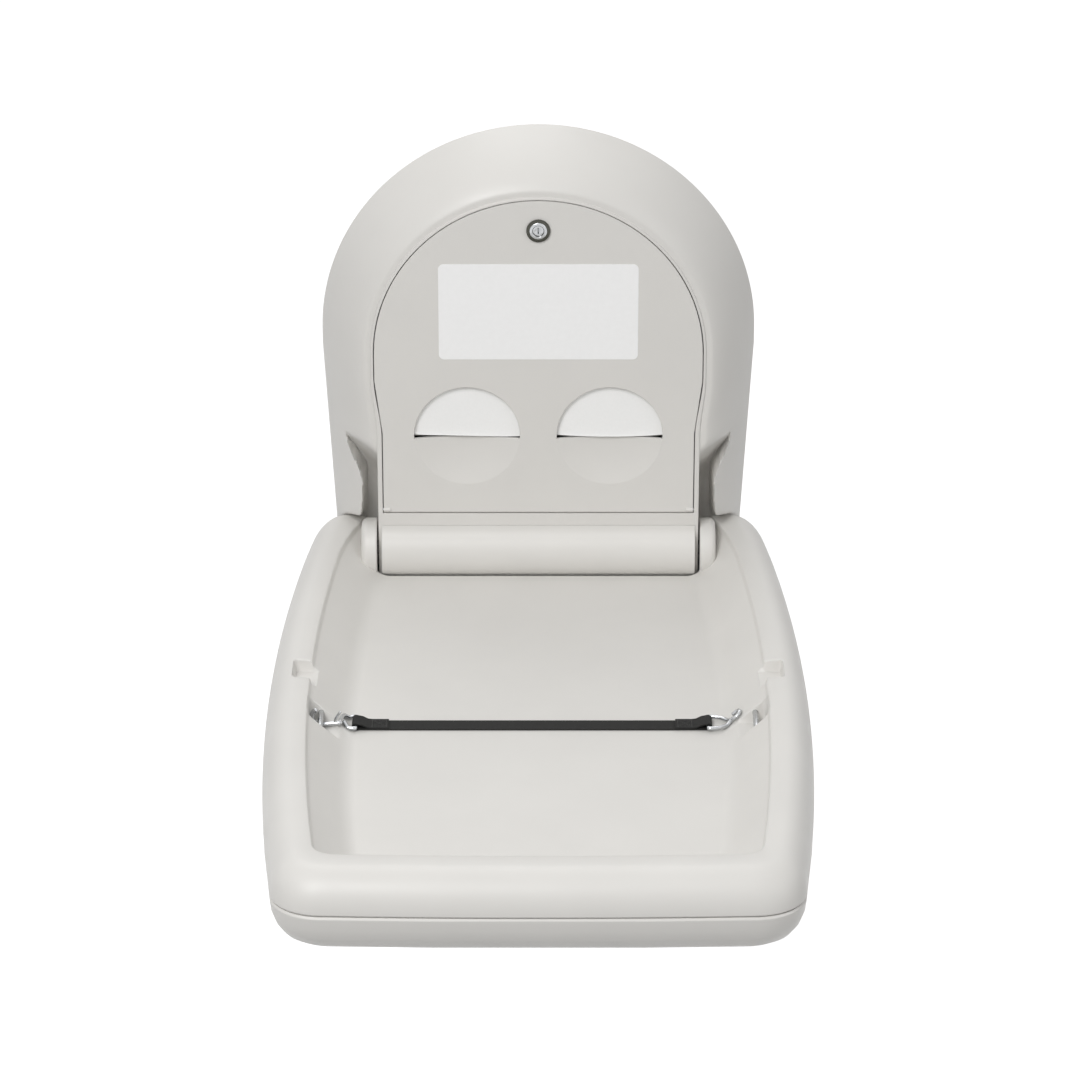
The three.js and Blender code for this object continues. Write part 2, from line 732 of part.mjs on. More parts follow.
function hookLeft() {
  const neck = overWall(eyeLeft - HOOK_NECK, -HOOK_AHEAD);
  const turn = BAR_RADIUS + CLEAR + WIRE + 0.3;
  const around = (degrees) => {
    const angle = THREE.MathUtils.degToRad(degrees);
    return [-barX + turn * Math.cos(angle), neck[1], barZ + turn * Math.sin(angle)];
  };
  const tip = [-barX - turn - 1, neck[1], barZ + 8];
  const curl = [neck, ...[300, 255, 210, 170].map(around), tip];
  return join(hookLoop(eyeLeft, neck), wire(curl, 12));
}

function hookRight() {
  const neckX = eyeRight + LOOSE_NECK;
  const bends = [[0, 0], [5, -2], [8.5, 2], [7.5, 7], [2, 8.5]];
  const curl = bends.map(([out, aside]) => overWall(neckX + out, aside));
  return join(hookLoop(eyeRight, curl[0]), wire(curl, 10));
}

// Chassis
function doorHalf(z, grow = 0) {
  const share = THREE.MathUtils.clamp((z - DOOR_STEP_LOW) / (DOOR_STEP_HIGH - DOOR_STEP_LOW), 0, 1);
  return blend(DOOR_LOWER, DOOR_RADIUS, share) + grow;
}

// The door's outline in X and Z, grown by a seam or a wall
function doorOutline(grow) {
  const outline = new THREE.Shape();
  outline.moveTo(-doorHalf(DOOR_FOOT, grow), DOOR_FOOT - grow);
  outline.lineTo(doorHalf(DOOR_FOOT, grow), DOOR_FOOT - grow);
  outline.lineTo(doorHalf(DOOR_STEP_LOW, grow), DOOR_STEP_LOW);
  outline.lineTo(doorHalf(DOOR_STEP_HIGH, grow), DOOR_STEP_HIGH);
  outline.absarc(0, ARCH_Z, DOOR_RADIUS + grow, 0, Math.PI);
  outline.lineTo(-doorHalf(DOOR_STEP_HIGH, grow), DOOR_STEP_HIGH);
  outline.lineTo(-doorHalf(DOOR_STEP_LOW, grow), DOOR_STEP_LOW);
  return outline;
}

function bandHalf(z) {
  return BAND_RADIUS - BAND_TAPER * Math.max(BAND_TAPER_TOP - z, 0);
}

// The sloping band around the door, from the door face back to the wall
function bandSolid(inset) {
  const foot = BAND_END_WALL + inset;
  const faceRadius = DOOR_RADIUS + FRAME_LIP;
  const faceHalf = (z) => doorHalf(z) + blend(FRAME_STRIP, FRAME_LIP, THREE.MathUtils.clamp(
    (z - DOOR_STEP_LOW) / (DOOR_STEP_HIGH - DOOR_STEP_LOW), 0, 1));
  const heights = steps(6).map((t) => blend(foot, ARCH_Z, t));
  const arcs = steps(36).slice(1, -1);
  const depth = HINGE_OUT - FACE_Y;
  const ring = (t) => {
    const share = BAND_BULGE * Math.sqrt(1 - (1 - t) ** 2) + (1 - BAND_BULGE) * t;
    const y = FACE_Y + inset + t * (depth + (inset > 0 ? 1 : 0) - inset);
    const half = (z) => blend(faceHalf(z), bandHalf(z), share) - inset;
    const radius = blend(faceRadius, BAND_RADIUS, share) - inset;
    const right = heights.map((z) => [half(z), z]);
    const arch = arcs.map((turn) => Math.PI * turn)
      .map((angle) => [radius * Math.cos(angle), ARCH_Z + radius * Math.sin(angle)]);
    const left = heights.map((z) => [-half(z), z]).reverse();
    return [...right, ...arch, ...left].map(([x, z]) => new THREE.Vector3(x, y, z));
  };
  return loft((inset > 0 ? [0, 0.12, 0.4, 1] : [0, 0.016, 0.07, 0.18, 0.38, 0.66, 1]).map(ring));
}

// Space in front of each cheek, where the folded bed's ears and rims go
function cheekRoom(wall) {
  const run = CHEEK_FRONT - FACE_Y;
  const drop = BAND_END_FACE - BAND_END_WALL;
  const size = Math.hypot(run, drop);
  const lift = (wall * size) / run;
  const rampZ = (y) => BAND_END_FACE - ((y - FACE_Y) * drop) / run + lift;
  const front = FACE_Y - 2 * SHELL;
  const back = CHEEK_FRONT + wall;
  const outline = polygon([
    [front, rampZ(front)],
    [front, CHASSIS_BOTTOM - FAR],
    [back, CHASSIS_BOTTOM - FAR],
    [back, rampZ(back)],
  ]);
  return join(...sides.map(([, sign]) => prism('x', outline, spanOn(sign, CORE_HALF - wall, FAR))));
}

// A low plate across the chassis's foot, rounded at its lower corners
function cheekSolid(inset) {
  const low = CHASSIS_BOTTOM + inset;
  const high = BAND_END_WALL - CLEAR - inset;
  const footHalf = bandHalf(CHASSIS_BOTTOM) - inset;
  const headHalf = bandHalf(high) - inset;
  const corner = CHEEK_CORNER - inset;
  const outline = new THREE.Shape();
  outline.moveTo(-footHalf + corner, low);
  outline.absarc(footHalf - corner, low + corner, corner, -Math.PI / 2, 0);
  outline.lineTo(headHalf, high);
  outline.lineTo(-headHalf, high);
  outline.absarc(-footHalf + corner, low + corner, corner, Math.PI, 1.5 * Math.PI);
  return prism('y', outline, [CHEEK_FRONT + inset, HINGE_OUT + (inset > 0 ? 1 : 0)], 8);
}

function chassisForm(inset) {
  const core = box(
    [-CORE_HALF + inset, CORE_HALF - inset],
    [FACE_Y + inset, HINGE_OUT + (inset > 0 ? 1 : 0)],
    [CHASSIS_BOTTOM + inset, ARCH_Z],
  );
  return join(cut(bandSolid(inset), cheekRoom(inset)), core);
}

// The wall plate passes behind the walls of the shell and the cheeks
function plateRoom() {
  return box(
    [-PLATE_HALF - CLEAR, PLATE_HALF + CLEAR],
    [PLATE_FRONT - CLEAR, FAR],
    [CHASSIS_BOTTOM + PLATE_MARGIN - CLEAR, BAND_END_WALL + 2 * SHELL],
  );
}

function shellBoss([, x, z], front) {
  return drum('y', BOSS_RADIUS, [front, PLATE_FRONT - CLEAR], [x, z], 14);
}

function shellBore([, x, z]) {
  return drum('y', SCREW_RADIUS + CLEAR, [PLATE_FRONT - SHELL_BITE - 2, FAR], [x, z], 12);
}

const upperBosses = sides.map(([side, sign]) => [`upper_${side}`, sign * SHELL_BOSS_X, SHELL_BOSS_HIGH]);
const lowerBosses = sides.map(([side, sign]) => [`lower_${side}`, sign * SHELL_BOSS_X, SHELL_BOSS_LOW]);
const shellBosses = [...upperBosses, ...lowerBosses];

function chassisShell() {
  const outside = chassisForm(0);
  const collarOutline = doorOutline(DOOR_SEAM + COLLAR_WALL);
  const collar = prism('y', collarOutline, [FACE_Y + 0.5, FACE_Y + COLLAR_DEPTH], ARCH_SIDES);
  const bosses = upperBosses.map((boss) => shellBoss(boss, FACE_Y + SHELL));
  const hollow = cut(outside, chassisForm(SHELL));
  return cut(
    join(hollow, join(collar, ...bosses).intersect(outside)),
    plateRoom(),
    prism('y', doorOutline(DOOR_SEAM), [FACE_Y - 1, FACE_Y + COLLAR_DEPTH + 1], ARCH_SIDES),
    box(
      [-BARREL_HALF + 2 * SHELL, BARREL_HALF - 2 * SHELL],
      [FACE_Y - 1, FACE_Y + SHELL + 1],
      [-COVER_WINDOW, COVER_WINDOW],
    ),
    drum('x', SHAFT_RADIUS + 2, [-CORE_HALF - 1, CORE_HALF + 1]),
    ...sides.map(([, sign]) => drum(
      'x', PIN_RADIUS + CLEAR, spanOn(sign, DOOR_LOWER - 1, pinOuter + CLEAR), [pinY, pinZ], 12)),
    ...upperBosses.map(shellBore),
  );
}

// A low cheek beside the core's foot, behind the folded bed's ear
function sideCheek(sign) {
  const form = (inset) => cheekSolid(inset).intersect(
    box(spanOn(sign, CORE_HALF + CLEAR + inset, FAR), [-FAR, FAR], [-FAR, FAR]));
  const boss = lowerBosses.find(([, x]) => x * sign > 0);
  return cut(
    join(cut(form(0), form(SHELL)), shellBoss(boss, CHEEK_FRONT + SHELL / 2)),
    plateRoom(),
    shellBore(boss),
  );
}

// A half-round cover that runs out into the chassis face above the barrel
function hingeCover() {
  const seat = FACE_Y - CLEAR;
  const dee = (radius) => {
    const angle = Math.acos(seat / radius);
    const outline = new THREE.Shape();
    outline.absarc(0, 0, radius, angle, 2 * Math.PI - angle);
    return outline;
  };
  const lip = seat - COVER_LIP;
  const rollY = lip - COVER_FILLET;
  const reach = BARREL_RADIUS + COVER_FILLET;
  const rollZ = Math.sqrt(reach ** 2 - rollY ** 2);
  const lean = Math.atan2(-rollZ, -rollY);
  const fillet = new THREE.Shape();
  fillet.moveTo(seat, 0);
  fillet.lineTo((rollY * BARREL_RADIUS) / reach, (rollZ * BARREL_RADIUS) / reach);
  fillet.absarc(rollY, rollZ, COVER_FILLET, lean, 0);
  fillet.lineTo(seat, rollZ);
  const inside = [-BARREL_HALF + COVER_WALL, BARREL_HALF - COVER_WALL];
  const across = [-BARREL_HALF, BARREL_HALF];
  const outer = join(prism('x', dee(BARREL_RADIUS), across, 16), prism('x', fillet, across, 5));
  const hollow = join(
    prism('x', dee(BARREL_RADIUS - COVER_WALL), inside, 16),
    box(inside, [seat - 1, seat + 1], [-COVER_WINDOW, COVER_WINDOW]),
  );
  return cut(outer, hollow);
}

function wallPlate() {
  const low = CHASSIS_BOTTOM + PLATE_MARGIN;
  const outline = new THREE.Shape();
  outline.moveTo(-PLATE_HALF, low + PLATE_MARGIN);
  outline.lineTo(-PLATE_HALF + PLATE_MARGIN, low);
  outline.lineTo(PLATE_HALF - PLATE_MARGIN, low);
  outline.lineTo(PLATE_HALF, low + PLATE_MARGIN);
  outline.absarc(0, ARCH_Z, PLATE_HALF, 0, Math.PI);
  const bore = (x, z, radius) => {
    const hole = new THREE.Path();
    hole.absarc(x, z, radius, 0, 2 * Math.PI, true);
    outline.holes.push(hole);
  };
  for (const [, sign] of sides) {
    bore(sign * WALL_HOLE_X, WALL_HOLE_HIGH, WALL_HOLE);
    bore(sign * WALL_HOLE_X, WALL_HOLE_LOW, WALL_HOLE);
  }
  let plate = prism('y', outline, [PLATE_FRONT, HINGE_OUT], 10);
  for (const [, x, z] of shellBosses) {
    plate = cut(
      plate,
      drum('y', SCREW_RADIUS + CLEAR, [0, FAR], [x, z], 12),
      drum('y', SCREW_HEAD + CLEAR, [HINGE_OUT - SCREW_HEAD_HIGH - CLEAR, FAR], [x, z], 16),
    );
  }
  for (const z of [TRAY_POST_LOW, TRAY_POST_HIGH]) {
    plate = plate.subtract(drum('y', SCREW_RADIUS + CLEAR, [0, FAR], [0, z], 12));
  }
  return plate;
}

const bracketX = CORE_HALF - BRACKET_INSET;

function hingeBracket(sign) {
  const span = spanOn(sign, bracketX, bracketX + BRACKET_THICK);
  const hub = new THREE.Shape();
  hub.absarc(0, 0, BRACKET_HUB, 0, 2 * Math.PI);
  const back = PLATE_FRONT - CLEAR;
  const web = polygon([
    [0, -BRACKET_HUB],
    [back, -BRACKET_FOOT / 2],
    [back, BRACKET_FOOT / 2],
    [0, BRACKET_HUB],
  ]);
  return cut(
    join(prism('x', hub, span), prism('x', web, span)),
    drum('x', SHAFT_RADIUS + 2 * CLEAR + BUSH_WALL, [-FAR, FAR]),
  );
}

function hingeBush(sign) {
  const outer = SHAFT_RADIUS + CLEAR + BUSH_WALL;
  const near = bracketX - CLEAR;
  return cut(
    join(
      drum('x', outer, spanOn(sign, near - 1, bracketX + BRACKET_THICK + 1)),
      drum('x', outer + 2 * BUSH_FLANGE, spanOn(sign, near - BUSH_FLANGE, near)),
    ),
    drum('x', SHAFT_RADIUS + CLEAR, [-FAR, FAR]),
  );
}

function bumper(sign) {
  const depth = [BED_TAIL + 2 * CLEAR, CHEEK_FRONT - CLEAR];
  const x = CORE_HALF + BUMPER_GAP + BUMPER_RADIUS;
  return drum('y', BUMPER_RADIUS, depth, [sign * x, BUMPER_Z]);
}

// Dispenser door
const pinOuter = CORE_HALF - CLEAR;
const pinInner = pinOuter - PIN_LENGTH;
const pinY = FACE_Y + PIN_BEHIND;
const pinZ = DOOR_FOOT + PIN_ABOVE;

function scoopShape(x, grow) {
  const rim = OPENING_RADIUS + grow;
  const bowl = steps(4).map((t) => [rim * (1 - t), FACE_Y + grow + SCOOP_DEPTH * (1 - (1 - t) ** 2)]);
  bowl[bowl.length - 1][0] = 0;
  const lidded = [[0, FACE_Y - 1 + grow * 1.5], [rim, FACE_Y - 1 + grow * 1.5], ...bowl];
  return turned(lidded, [x, OPENING_Z]);
}

function doorPanel() {
  const inside = prism('y', doorOutline(-COLLAR_WALL), [DOOR_BACK, DOOR_BACK + DOOR_FLANGE + 1], ARCH_SIDES);
  let door = cut(prism('y', doorOutline(0), [FACE_Y, DOOR_BACK + DOOR_FLANGE], ARCH_SIDES), inside);
  const lower = box([-FAR, FAR], [-FAR, FAR], [DOOR_FOOT, OPENING_EDGE]);
  for (const [, sign] of sides) {
    const x = sign * OPENING_X;
    door = door.add(scoopShape(x, COLLAR_WALL).intersect(lower));
    const below = box([-FAR, FAR], [-FAR, FAR], [-FAR, OPENING_EDGE + 1]);
    door = door.subtract(scoopShape(x, 0).intersect(below));
    const upper = box([-FAR, FAR], [-FAR, FAR], [OPENING_EDGE, FAR]);
    const opening = drum('y', OPENING_RADIUS, [FACE_Y - 1, DOOR_BACK + 1], [x, OPENING_Z], 40);
    door = door.subtract(opening.intersect(upper));
    const knuckle = PIN_RADIUS + CLEAR + PIN_WALL;
    const inside = spanOn(sign, pinInner - 2, DOOR_LOWER);
    door = door.add(drum('x', knuckle, inside, [pinY, pinZ], 20));
    const pinBore = spanOn(sign, pinInner - CLEAR, FAR);
    door = door.subtract(drum('x', PIN_RADIUS + CLEAR, pinBore, [pinY, pinZ], 12));
  }
  return door.subtract(drum('y', LOCK_BODY + CLEAR, [-FAR, FAR], [0, LOCK_Z], 24));
}

function doorPin(sign) {
  return drum('x', PIN_RADIUS, spanOn(sign, pinInner, pinOuter), [pinY, pinZ], 12);
}

// Lock
const strikeFront = FACE_Y + COLLAR_DEPTH + CLEAR;
const bodyBack = strikeFront + STRIKE_THICK;
const camFront = bodyBack + CLEAR;
const camBack = camFront + CAM_THICK;

function lockBody() {
  const front = FACE_Y - CLEAR - LOCK_PROUD;
  return cut(
    join(
      drum('y', LOCK_BEZEL, [front, FACE_Y - CLEAR], [0, LOCK_Z], 36),
      drum('y', LOCK_BODY, [front + 0.5, bodyBack], [0, LOCK_Z], 24),
    ),
    drum('y', LOCK_PLUG + CLEAR, [-FAR, FAR], [0, LOCK_Z], 24),
  );
}

function lockNut() {
  return cut(
    drum('y', LOCK_NUT, [DOOR_BACK + CLEAR, DOOR_BACK + CLEAR + LOCK_NUT_THICK], [0, LOCK_Z], 6),
    drum('y', LOCK_BODY + CLEAR, [-FAR, FAR], [0, LOCK_Z], 24),
  );
}

function lockPlug() {
  const front = FACE_Y - LOCK_PROUD + 0.2;
  const keyway = box([-0.7, 0.7], [front - 1, front + 5], [LOCK_Z - 3.5, LOCK_Z + 3.5]);
  return cut(drum('y', LOCK_PLUG, [front, bodyBack], [0, LOCK_Z], 24), keyway);
}

function lockCam() {
  const tail = CAM_WIDTH / 2;
  const outline = new THREE.Shape();
  outline.absarc(0, LOCK_Z, tail, Math.PI / 2, 1.5 * Math.PI);
  outline.lineTo(CAM_LENGTH, LOCK_Z - tail);
  outline.lineTo(CAM_LENGTH, LOCK_Z + tail);
  const bore = drum('y', SCREW_RADIUS + CLEAR, [-FAR, FAR], [0, LOCK_Z], 12);
  return cut(prism('y', outline, [camFront, camBack], 10), bore);
}

function camScrew() {
  return join(
    drum('y', CAM_SCREW, [camBack + CLEAR, camBack + CLEAR + SCREW_HEAD_HIGH], [0, LOCK_Z], 16),
    drum('y', SCREW_RADIUS, [camFront, camBack + 1], [0, LOCK_Z], 12),
  );
}

function strikePlate() {
  const low = ARCH_Z + DOOR_RADIUS + DOOR_SEAM + 1.5;
  return box([-STRIKE_HALF, STRIKE_HALF], [strikeFront, bodyBack], [low, low + STRIKE_HIGH]);
}

// Liner shelf and liners
const linerFront = DOOR_BACK + CLEAR + 0.2;
const linerBack = linerFront + LINER_THICK;
const linerFoot = OPENING_EDGE + 0.9;
const linerHalf = OPENING_RADIUS + LINER_MARGIN;
const trayBack = linerBack + CLEAR + TRAY_WALL;
const trayHalf = OPENING_X + linerHalf + CLEAR + TRAY_WALL;

function linerTray() {
  const shelfFront = FACE_Y + SCOOP_DEPTH + COLLAR_WALL + 1.5;
  const shelf = linerFoot - CLEAR;
  const high = linerFoot + LINER_HIGH;
  return cut(
    join(
      box([-trayHalf, trayHalf], [shelfFront, trayBack], [shelf - TRAY_WALL, shelf]),
      box([-trayHalf, trayHalf], [trayBack - TRAY_WALL, trayBack], [shelf - TRAY_WALL, high]),
      ...sides.map(([, sign]) => box(
        spanOn(sign, trayHalf - TRAY_WALL, trayHalf), [shelfFront, trayBack], [shelf - TRAY_WALL, high])),
      ...[TRAY_POST_LOW, TRAY_POST_HIGH].map((z) => drum(
        'y', TRAY_POST, [trayBack - TRAY_WALL / 2, PLATE_FRONT - CLEAR], [0, z], 20)),
    ),
    ...[TRAY_POST_LOW, TRAY_POST_HIGH].map((z) => drum('y', SCREW_RADIUS + CLEAR, [-FAR, FAR], [0, z], 12)),
  );
}

function linerStack(sign) {
  const x = spanOn(sign, OPENING_X - linerHalf, OPENING_X + linerHalf);
  return box(x, [linerFront, linerBack], [linerFoot, linerFoot + LINER_HIGH]);
}

function trayScrew(z) {
  const front = trayBack - TRAY_WALL - CLEAR;
  return join(
    drum('y', SCREW_HEAD, [front - SCREW_HEAD_HIGH, front], [0, z], 16),
    drum('y', SCREW_RADIUS, [front - 0.5, HINGE_OUT - 0.5], [0, z], 12),
  );
}

// Gas cylinder
const gasX = -(CORE_HALF - GAS_INSET);
const pinRest = CRANK_RADIUS * Math.SQRT1_2;
const gasY = (pinRest + CRANK_RADIUS) / 2;
const yokeSpan = [gasX - YOKE_THICK / 2, gasX + YOKE_THICK / 2];
const yokeHalf = CRANK_PIN + YOKE_PLAY + YOKE_WALL;

function crankArm() {
  const inner = yokeSpan[0] - 1.2;
  const span = [inner - CRANK_THICK, inner];
  const lean = new THREE.Shape();
  lean.absarc(0, 0, CRANK_HUB, 0, 2 * Math.PI);
  const tip = new THREE.Shape();
  tip.absarc(pinRest, pinRest, CRANK_PIN + 4, 0, 2 * Math.PI);
  const side = (CRANK_PIN + 4) * Math.SQRT1_2;
  const web = polygon([
    [side, -side],
    [pinRest + side, pinRest - side],
    [pinRest - side, pinRest + side],
    [-side, side],
  ]);
  return cut(
    join(
      prism('x', lean, span),
      prism('x', tip, span, 10),
      prism('x', web, span),
      drum('x', CRANK_PIN, [inner - 1, yokeSpan[1] + 1.5], [pinRest, pinRest], 24),
    ),
    drum('x', SHAFT_RADIUS + CLEAR, [-FAR, FAR]),
  );
}

function rodYoke() {
  const reach = (CRANK_RADIUS - pinRest) / 2 + CRANK_PIN + YOKE_PLAY;
  const slotHalf = CRANK_PIN + YOKE_PLAY;
  return cut(
    box(
      yokeSpan,
      [gasY - reach - YOKE_WALL, gasY + reach + YOKE_WALL],
      [pinRest - yokeHalf, pinRest + yokeHalf],
    ),
    box([-FAR, FAR], [gasY - reach, gasY + reach], [pinRest - slotHalf, pinRest + slotHalf]),
  );
}

function gasRod() {
  const low = pinRest + yokeHalf + CLEAR;
  return drum('z', ROD_RADIUS, [low, low + ROD_LENGTH], [gasX, gasY], 20);
}

const tubeTop = TUBE_LOW + TUBE_LENGTH;
const hangerLow = tubeTop + CLEAR;

function gasTube() {
  return cut(
    join(
      drum('z', TUBE_RADIUS, [TUBE_LOW, tubeTop], [gasX, gasY], 28),
      drum('z', STUD_RADIUS, [tubeTop - 1, tubeTop + STUD_LENGTH], [gasX, gasY], 16),
    ),
    drum('z', ROD_RADIUS + CLEAR, [TUBE_LOW - 1, tubeTop - TUBE_CAP], [gasX, gasY], 20),
  );
}

function gasBracket() {
  const x = [gasX - HANGER_HALF, gasX + HANGER_HALF];
  const back = PLATE_FRONT - CLEAR;
  return cut(
    join(
      box(x, [gasY - TUBE_RADIUS, back], [hangerLow, hangerLow + HANGER_THICK]),
      box(x, [back - HANGER_THICK, back], [hangerLow, hangerLow + HANGER_FOOT]),
    ),
    drum('z', STUD_RADIUS + CLEAR, [-FAR, FAR], [gasX, gasY], 16),
  );
}

function gasNut() {
  const low = hangerLow + HANGER_THICK + CLEAR;
  return cut(
    drum('z', 2 * STUD_RADIUS, [low, low + STUD_RADIUS], [gasX, gasY], 6),
    drum('z', STUD_RADIUS + CLEAR, [-FAR, FAR], [gasX, gasY], 16),
  );
}

// Finishes and the assembly
const moulding = () => new THREE.MeshStandardMaterial({ color: 0xdeddd8, roughness: 0.5, metalness: 0 });
const paleMoulding = () => new THREE.MeshStandardMaterial({ color: 0xd2d0cb, roughness: 0.5, metalness: 0 });
const steel = () => new THREE.MeshStandardMaterial({ color: 0xb4b6b8, roughness: 0.35, metalness: 1 });
const zinc = () => new THREE.MeshStandardMaterial({ color: 0xa7aab0, roughness: 0.45, metalness: 1 });
const bronze = () => new THREE.MeshStandardMaterial({ color: 0xb08d57, roughness: 0.45, metalness: 1 });
const blackSteel = () => new THREE.MeshStandardMaterial({ color: 0x2a2b2d, roughness: 0.5, metalness: 0.3 });
const rubber = () => new THREE.MeshStandardMaterial({ color: 0x1e1e1e, roughness: 0.9, metalness: 0 });
const paper = () => new THREE.MeshStandardMaterial({ color: 0xf2f2ef, roughness: 0.9, metalness: 0 });
const webbing = () => new THREE.MeshStandardMaterial({ color: 0x323230, roughness: 0.85, metalness: 0 });

const station = new THREE.Group();
const hingeFrame = new THREE.Group();
hingeFrame.position.y = -HINGE_OUT;
station.add(hingeFrame);

function piece(name, solid, material) {
  const mesh = new THREE.Mesh(geometryOf(solid), material);
  mesh.name = name;
  hingeFrame.add(mesh);
  return mesh;
}

piece('wall_plate', wallPlate(), zinc());
piece('chassis_shell', chassisShell(), moulding());
piece('hinge_cover', hingeCover(), moulding());
piece('strike_plate', strikePlate(), zinc());
piece('liner_tray', linerTray(), paleMoulding());
piece('tray_screw_upper', trayScrew(TRAY_POST_HIGH), steel());
piece('tray_screw_lower', trayScrew(TRAY_POST_LOW), steel());
piece('gas_bracket', gasBracket(), zinc());
piece('gas_tube', gasTube(), blackSteel());
piece('gas_nut', gasNut(), zinc());
piece('gas_rod', gasRod(), steel());
piece('rod_yoke', rodYoke(), zinc());
piece('door_panel', doorPanel(), moulding());
piece('lock_body', lockBody(), steel());
piece('lock_nut', lockNut(), zinc());
piece('lock_plug', lockPlug(), steel());
piece('lock_cam', lockCam(), zinc());
piece('cam_screw', camScrew(), steel());
piece('bed_tray', bedTray(), moulding());
piece('bed_base', bedBase(), moulding());
piece('hinge_shaft', hingeShaft(), steel());
piece('cross_rail', crossRail(), zinc());
piece('crank_arm', crankArm(), zinc());
piece('strap', strapSolid(), webbing());
piece('strap_hook_left', hookLeft(), steel());
piece('strap_hook_right', hookRight(), steel());
for (const [side, sign] of sides) {
  piece(`hinge_bracket_${side}`, hingeBracket(sign), zinc());
  piece(`hinge_bush_${side}`, hingeBush(sign), bronze());
  piece(`side_cheek_${side}`, sideCheek(sign), moulding());
  piece(`bumper_${side}`, bumper(sign), rubber());
  piece(`liner_stack_${side}`, linerStack(sign), paper());
  piece(`door_pin_${side}`, doorPin(sign), steel());
  piece(`hinge_ear_${side}`, hingeEar(sign), moulding());
  piece(`hinge_arm_${side}`, hingeArm(sign), zinc());
  piece(`anchor_bar_${side}`, anchorBar(sign), steel());
}
for (const [place, x, s] of baseScrews) {
  const screw = piece(`base_screw_${place}`, screwSolid(SHELL + SCREW_BITE), steel());
  screw.position.set(x, -s, BASE_BOTTOM + CLEAR / 2);
}
for (const [place, x, z] of shellBosses) {
  const grip = PLATE_THICK - SCREW_HEAD_HIGH;
  const screw = piece(`shell_screw_${place}`, screwSolid(grip + SHELL_BITE), steel());
  screw.rotation.x = Math.PI / 2;
  screw.position.set(x, HINGE_OUT - CLEAR / 2, z);
}

export default station;
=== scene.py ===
"""Dresses a wall-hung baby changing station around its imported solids, in metres."""

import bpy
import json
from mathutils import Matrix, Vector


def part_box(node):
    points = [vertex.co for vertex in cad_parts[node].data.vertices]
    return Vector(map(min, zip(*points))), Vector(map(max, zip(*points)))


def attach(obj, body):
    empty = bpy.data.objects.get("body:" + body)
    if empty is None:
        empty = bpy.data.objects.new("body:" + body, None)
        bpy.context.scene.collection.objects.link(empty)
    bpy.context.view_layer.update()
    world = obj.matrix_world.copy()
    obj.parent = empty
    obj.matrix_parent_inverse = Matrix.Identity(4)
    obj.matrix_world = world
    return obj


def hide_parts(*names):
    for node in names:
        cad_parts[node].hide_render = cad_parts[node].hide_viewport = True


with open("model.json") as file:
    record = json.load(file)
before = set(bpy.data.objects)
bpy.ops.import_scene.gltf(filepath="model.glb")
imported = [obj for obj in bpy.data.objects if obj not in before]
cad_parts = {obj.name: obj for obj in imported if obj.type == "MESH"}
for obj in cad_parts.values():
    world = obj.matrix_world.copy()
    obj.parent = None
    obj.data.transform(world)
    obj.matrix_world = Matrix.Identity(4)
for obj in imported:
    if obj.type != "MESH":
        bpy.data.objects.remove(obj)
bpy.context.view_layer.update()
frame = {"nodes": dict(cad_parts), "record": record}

import json
import math

import bmesh
import bpy
from bpy.props import FloatProperty, FloatVectorProperty, PointerProperty
from mathutils import Vector

bl_info = {
    "name": "Baby changing station",
    "version": (1, 0, 0),
    "blender": (4, 5, 0),
    "location": "View3D > Sidebar > Changing station",
    "description": "Makes the finished surfaces, strap, liners and stage of a wall-hung changing station",
    "category": "Add Mesh",
}

BODIES = frame["record"]["behaviour"]["bodies"]
BODY_OF = {node: body for body, nodes in BODIES.items() for node in nodes}
SLOT_OF = {row["node"]: row["material_slot"] for row in frame["record"]["subparts"]}
FINISHES = {}
MM = 0.001


def middle_of(node):
    """The middle of a solid's box."""
    low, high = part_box(node)
    return (low + high) / 2


# Places read from the solids
TRAY_LOW, TRAY_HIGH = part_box("bed_tray")
STRAP_LOW, STRAP_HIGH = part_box("strap")
DOOR_LOW, DOOR_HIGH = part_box("door_panel")
SHELL_LOW, SHELL_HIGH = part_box("chassis_shell")
EAR_LOW, EAR_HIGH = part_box("hinge_ear_right")
BAR_LEFT = middle_of("anchor_bar_left")
BAR_RIGHT = middle_of("anchor_bar_right")
HINGE_Y = middle_of("hinge_shaft").y
FACE_Y = SHELL_LOW.y
STRAP_Y = middle_of("strap").y
STRAP_HALF = (STRAP_HIGH.y - STRAP_LOW.y) / 2
EYE_RADIUS = (STRAP_HIGH.z - STRAP_LOW.z) / 2
EYE_Z = middle_of("strap").z
EYE_LEFT = STRAP_LOW.x + EYE_RADIUS
EYE_RIGHT = STRAP_HIGH.x - EYE_RADIUS

# Forms of the bed that its solids have too
SHELL = 4 * MM
BED_HALF = TRAY_HIGH.x
BED_REACH = HINGE_Y - TRAY_LOW.y
BED_TAIL = TRAY_HIGH.y - HINGE_Y
BED_WIDEST = 388 * MM
BED_TAPER = 27.9 * MM
BED_TAPER_RUN = 400 * MM
REAR_DRAW = 14 * MM
REAR_DRAW_FROM = 60 * MM
FRONT_BOW = 6.5 * MM
FRONT_CORNER = 42 * MM
REAR_CORNER = 45 * MM
RIM_TOP = 22 * MM
RIM_EDGE = RIM_TOP - 6 * MM
RIM_SIDE = 44 * MM
RIM_FRONT = 56 * MM
RIM_CREST = 0.64
PARTING = -18 * MM
PARTING_EASE = 1.5 * MM
FLOOR_Z = STRAP_LOW.z - 0.3 * MM
FLOOR_REAR = 26 * MM
WALL_RUN = 41 * MM
WALL_SLOPE = (RIM_EDGE - FLOOR_Z) / WALL_RUN
POCKET_HALF = 18 * MM
POCKET_ROOM = 12 * MM
NOTCH_FROM = 318 * MM
NOTCH_LENGTH = 36 * MM
NOTCH_WIDE = 17 * MM
NOTCH_DEEP = 13 * MM
